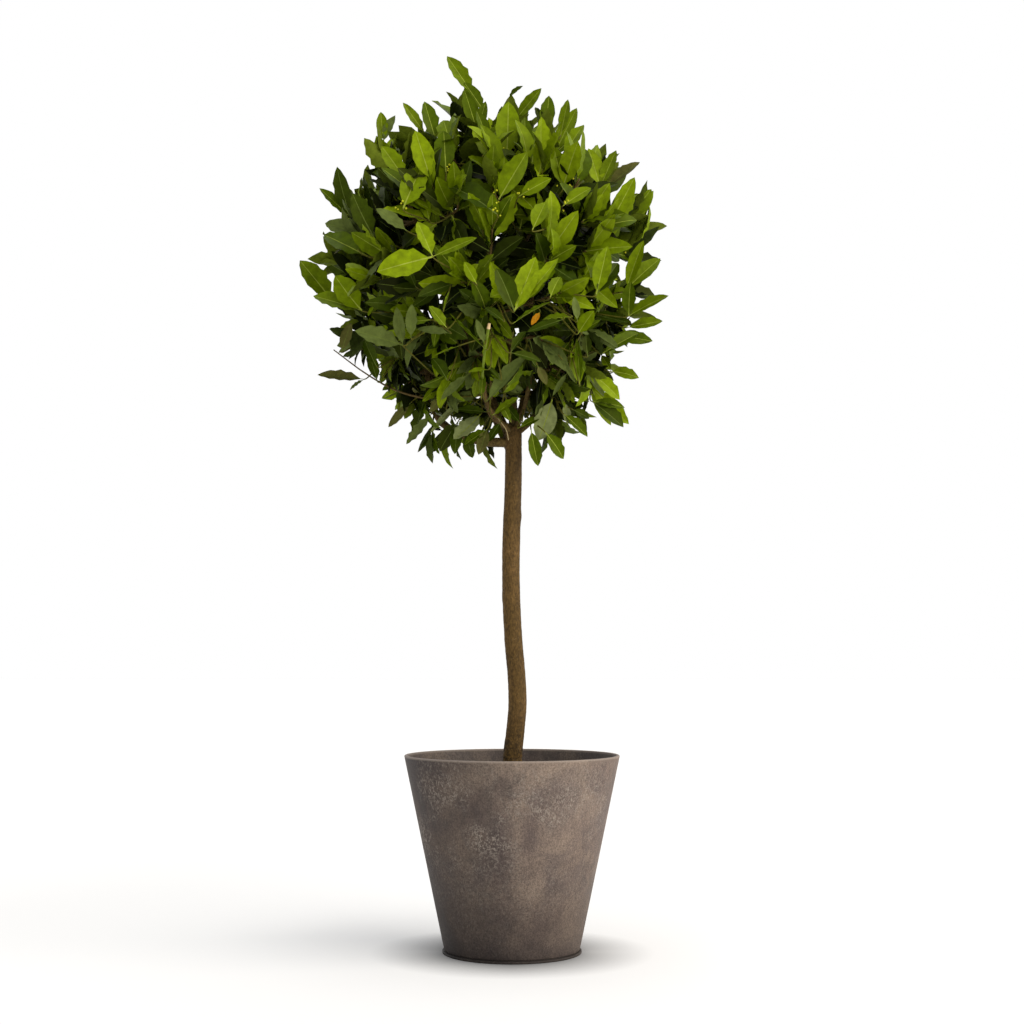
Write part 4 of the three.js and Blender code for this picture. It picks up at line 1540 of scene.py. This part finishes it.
# %% Keep clear
TRUNK_VIEW = (22 * MM, 875 * MM)  # half the width, and the top, of the view kept open to the trunk
OPEN_FORK = metres(((-52, -400, 868), (28, 20, 938)))
HIDING = 0.33
IN_FRONT = 5 * MM
BARK_GAP = 1.5 * MM
BOX_SLACK = 1 * MM


def inside(points, low, high):
    return ((points > low) & (points < high)).all(axis=2)


corners = leaf_corners()
shown = column("leading")
x, y, z = np.moveaxis(corners, 2, 0)
clear = ~((abs(x) < TRUNK_VIEW[0]) & (z < TRUNK_VIEW[1]) & (y < 0)).any(axis=1)
clear &= shown | ~inside(corners, *OPEN_FORK).any(axis=1)
middles = corners.mean(axis=1)
depths = VIEWER_DISTANCE + middles[:, 1]
seen = (middles[:, [0, 2]] - (0, VIEWER_HEIGHT)) / depths[:, None] * VIEWER_DISTANCE
for i in np.flatnonzero(shown):
    near = np.linalg.norm(seen - seen[i], axis=1) < HIDING * leaves[i]["length"]
    clear &= shown | ~(near & (depths < depths[i] + IN_FRONT))
print("left out for the fork and the placed leaves:", int((~clear).sum()))
blade = corners[:, LEAF["corners"][:, 1] > 0.3]
for place, radius in zip(*limb_samples()):
    clear &= (np.linalg.norm(blade - place, axis=2) > radius + BARK_GAP).all(axis=1)
low, high = (np.array(corner) for corner in cad_box)
clear &= inside(corners, low - BOX_SLACK, high + BOX_SLACK).all(axis=1)
print("left out:", int((~clear).sum()), "of", len(leaves))
print("placed leaves left out:", int((shown & ~clear).sum()))

# %% Leaf pieces
owners, tones = column("owner"), column("tone")
for mass in masses:
    chosen = clear & (owners == mass["name"])
    kinds = SLOT_TABLE[tones[chosen]][:, LEAF["parts"]]
    name = "leaves_" + mass["name"]
    mesh = scatter(name, LEAF, corners[chosen], kinds)
    mesh.set_sharp_from_angle(angle=math.radians(70))
    keep(name, mesh, LEAF_FINISHES, ["foliage_" + mass["name"]])

# %% [markdown]
# ## Twigs
#
# The stems, shoots and fine twigs are thin tapering tubes, all copies of one template that follows
# each curve. Older wood is brown, and the last season's is still green. Two marks of the last clipping
# are among them: a thick green shoot cut square, with its pale pith showing, and a dry stalk that
# still hangs in the fork.


# %% Twig piece
def twig_finish(name, colour, pale):
    material, tree, shader = new_finish(name, colour, 0.6, 0.12)
    tone = noise_of(tree, 120, 4, 0.6)
    tree.links.new(ramp(tree, tone, [(0.35, colour), (0.7, pale)]), shader.inputs["Base Color"])
    bump(tree, shader, noise_of(tree, 500, 3), 0.3 * MM)
    return material


CUT_START = nearest_wood(np.array([-46, -215, 930]) * MM)
CUT_SHOOT = [CUT_START, *metres([(-46, -240, 957), (-42, -264, 986), (-37, -280, 1011)])]
CUT_END = CUT_SHOOT[-1]
CUT_WAY = unit(CUT_END - CUT_SHOOT[-2]) * 9 * MM
CUT_RADIUS = 2.3 * MM
DRY_STALK = metres([(-30, -24, 914), (-20, -36, 898), (-10, -36, 884), (-6, -34, 866)])
twigs.append((lambda at: through(CUT_SHOOT, at), (1.8 * MM, CUT_RADIUS), 4))
twigs.append((lambda at: CUT_END + CUT_WAY * at, (CUT_RADIUS * 1.25, CUT_RADIUS * 0.9), 2))
twigs.append((lambda at: through(DRY_STALK, at), (1.0 * MM, 0.7 * MM), 3))
TWIG_FINISHES = [
    twig_finish("brown_twig", (0.062, 0.040, 0.011), (0.110, 0.074, 0.022)),
    twig_finish("green_twig", (0.060, 0.060, 0.006), (0.120, 0.112, 0.012)),
    twig_finish("cut_pith", (0.62, 0.42, 0.20), (0.78, 0.60, 0.34)),
    twig_finish("dry_stalk", (0.34, 0.26, 0.12), (0.46, 0.37, 0.19)),
    twig_finish("green_shoot", (0.095, 0.140, 0.008), (0.150, 0.200, 0.015)),
]
TWIG = tube_template(6, 8)
twig_corners = np.array([limb_points(TWIG, curve, tapered(radii)) for curve, radii, _ in twigs])
twig_kinds = np.repeat([[kind] for _, _, kind in twigs], len(TWIG["faces"]), axis=1)
keep("twigs", scatter("twigs", TWIG, twig_corners, twig_kinds), TWIG_FINISHES)

# %% [markdown]
# ## Flower buds
#
# In early spring tight round buds, the size of peppercorns, sit in the leaf axils of last year's
# shoots. Each is a small ball of twenty faces, and a cluster has three to six of them. They sit on
# sprays in the upper crown, and where the placed leaves leave their twigs.

# %% Buds
BUDS_ABOVE = 1.19
BUDS_WITHIN = 205 * MM
BUDS_FORWARD = 9 * MM
BUD_RADII = (1.5 * MM, 2.2 * MM)
BUD_SHARE = 0.6


def bud_clusters():
    bm = bmesh.new()
    bmesh.ops.create_icosphere(bm, subdivisions=1, radius=1.0)
    ball = template_of(bm)
    places = []
    for direction, handles in sprays:
        if direction[2] < 0.05 or dice.random() > BUD_SHARE:
            continue
        at = dice.uniform(0.5, 0.85)
        side, other = square_to(heading_of(run_of(handles), at))
        for _ in range(dice.randint(3, 5)):
            turn = FULL_TURN * dice.random()
            out = (side * math.cos(turn) + other * math.sin(turn)) * dice.uniform(4, 8) * MM
            rise = UP * dice.uniform(-3, 6) * MM
            places.append(ball["corners"] * dice.uniform(*BUD_RADII) + bezier(handles, at) + out + rise)
    for foot in feet:
        if foot[2] < BUDS_ABOVE or math.hypot(*(foot - CROWN_CENTRE)[[0, 2]]) > BUDS_WITHIN:
            continue
        forward = unit(foot - CROWN_CENTRE) * BUDS_FORWARD
        for _ in range(dice.randint(3, 6)):
            shift = np.array([dice.gauss(0, 7), dice.gauss(0, 3), dice.gauss(0, 8)]) * MM
            places.append(ball["corners"] * dice.uniform(*BUD_RADII) + foot + forward + shift)
    kinds = np.zeros((len(places), len(ball["faces"])))
    return scatter("flower_buds", ball, np.array(places), kinds)


keep("flower_buds", bud_clusters(), [leaf_finish("bud_skin", (0.40, 0.40, 0.02), 0.5)])

# %% [markdown]
# ## The studio
#
# A white floor lies under an even white sky. Without a shade at its foot the planter would seem to
# float, so the floor darkens where something is close above it. The shade is lighter beside the
# planter than in front of it.

# %% Floor and sky
FLOOR_SIZE = 60.0
FLOOR_TONE = 0.80
CONTACT_REACH = 0.125
CONTACT_DEPTH = 2.1


def floor_finish():
    """White paint that takes a soft dark contact shade where something stands on it."""
    material, tree, shader = new_finish("white_floor", grey(FLOOR_TONE), 0.9, 0.0)
    crevice = node(tree, "ShaderNodeAmbientOcclusion", samples=16)
    crevice.inputs["Distance"].default_value = CONTACT_REACH
    place = place_in(tree)
    across = maths(tree, "ABSOLUTE", place["X"])
    away = maths(tree, "ADD", across, maths(tree, "ABSOLUTE", place["Y"]))
    depth = maths(tree, "SUBTRACT", CONTACT_DEPTH, maths(tree, "DIVIDE", across, away))
    contact = maths(tree, "POWER", crevice.outputs["AO"], depth)
    tree.links.new(mix(tree, contact, grey(0.04), grey(FLOOR_TONE)), shader.inputs["Base Color"])
    return material


floor_bm = bmesh.new()
bmesh.ops.create_grid(floor_bm, x_segments=1, y_segments=1, size=FLOOR_SIZE / 2)
floor = bpy.data.objects.new("floor", mesh_of("floor", floor_bm, smooth=False))
floor.data.materials.append(floor_finish())
bpy.context.scene.collection.objects.link(floor)

world = bpy.data.worlds.new("studio")
world.use_nodes = True
world.node_tree.nodes["Background"].inputs["Color"].default_value = (1, 1, 1, 1)
world.node_tree.nodes["Background"].inputs["Strength"].default_value = 1.0
bpy.context.scene.world = world
print("floor:", FLOOR_SIZE, "m across")

# %% [markdown]
# The key light is warm, very soft and low on the front right, like a large window. A small warm softbox
# close to the planter's right side draws its edge out of the shade.


# %% Lights
def lamp(name, kind, place, target, energy, colour):
    data = bpy.data.lights.new(name, kind)
    data.energy = energy
    data.color = colour
    made = bpy.data.objects.new(name, data)
    made.location = place
    made.rotation_euler = (Vector(target) - Vector(place)).to_track_quat("-Z", "Y").to_euler()
    made.visible_camera = False
    bpy.context.scene.collection.objects.link(made)
    return data


KEY_TURN, KEY_RISE = math.radians(58), math.radians(22)
KEY_POWER = 2.8
key_from = (math.sin(KEY_TURN), -math.cos(KEY_TURN), math.tan(KEY_RISE))
key = lamp("key", "SUN", key_from, (0, 0, 0), KEY_POWER, (1.0, 0.95, 0.88))
key.angle = math.radians(70)
side = lamp("side_softbox", "AREA", (0.95, -0.10, 0.20), (0, 0, 0.20), 2.0, (1.0, 0.88, 0.74))
side.shape = "RECTANGLE"
side.size, side.size_y = 0.4, 0.35
print("lights:", key.name, "and", side.name)

# %% [markdown]
# The camera stands half a metre above the ground and close to three metres away, where the line of
# sight of the placed leaves starts. It looks a little up, so the planter's far rim shows over its near
# one.

# %% Camera
CAMERA_PITCH = 4.9
LENS = 58.5
camera_data = bpy.data.cameras.new("camera")
camera_data.lens = LENS
camera = bpy.data.objects.new("camera", camera_data)
camera.location = (0, -VIEWER_DISTANCE, VIEWER_HEIGHT)
camera.rotation_euler = (math.radians(90 + CAMERA_PITCH), 0, 0)
bpy.context.scene.collection.objects.link(camera)
bpy.context.scene.camera = camera
bpy.context.scene.view_settings.view_transform = "Standard"
print("camera:", LENS, "mm lens,", VIEWER_DISTANCE, "m away")
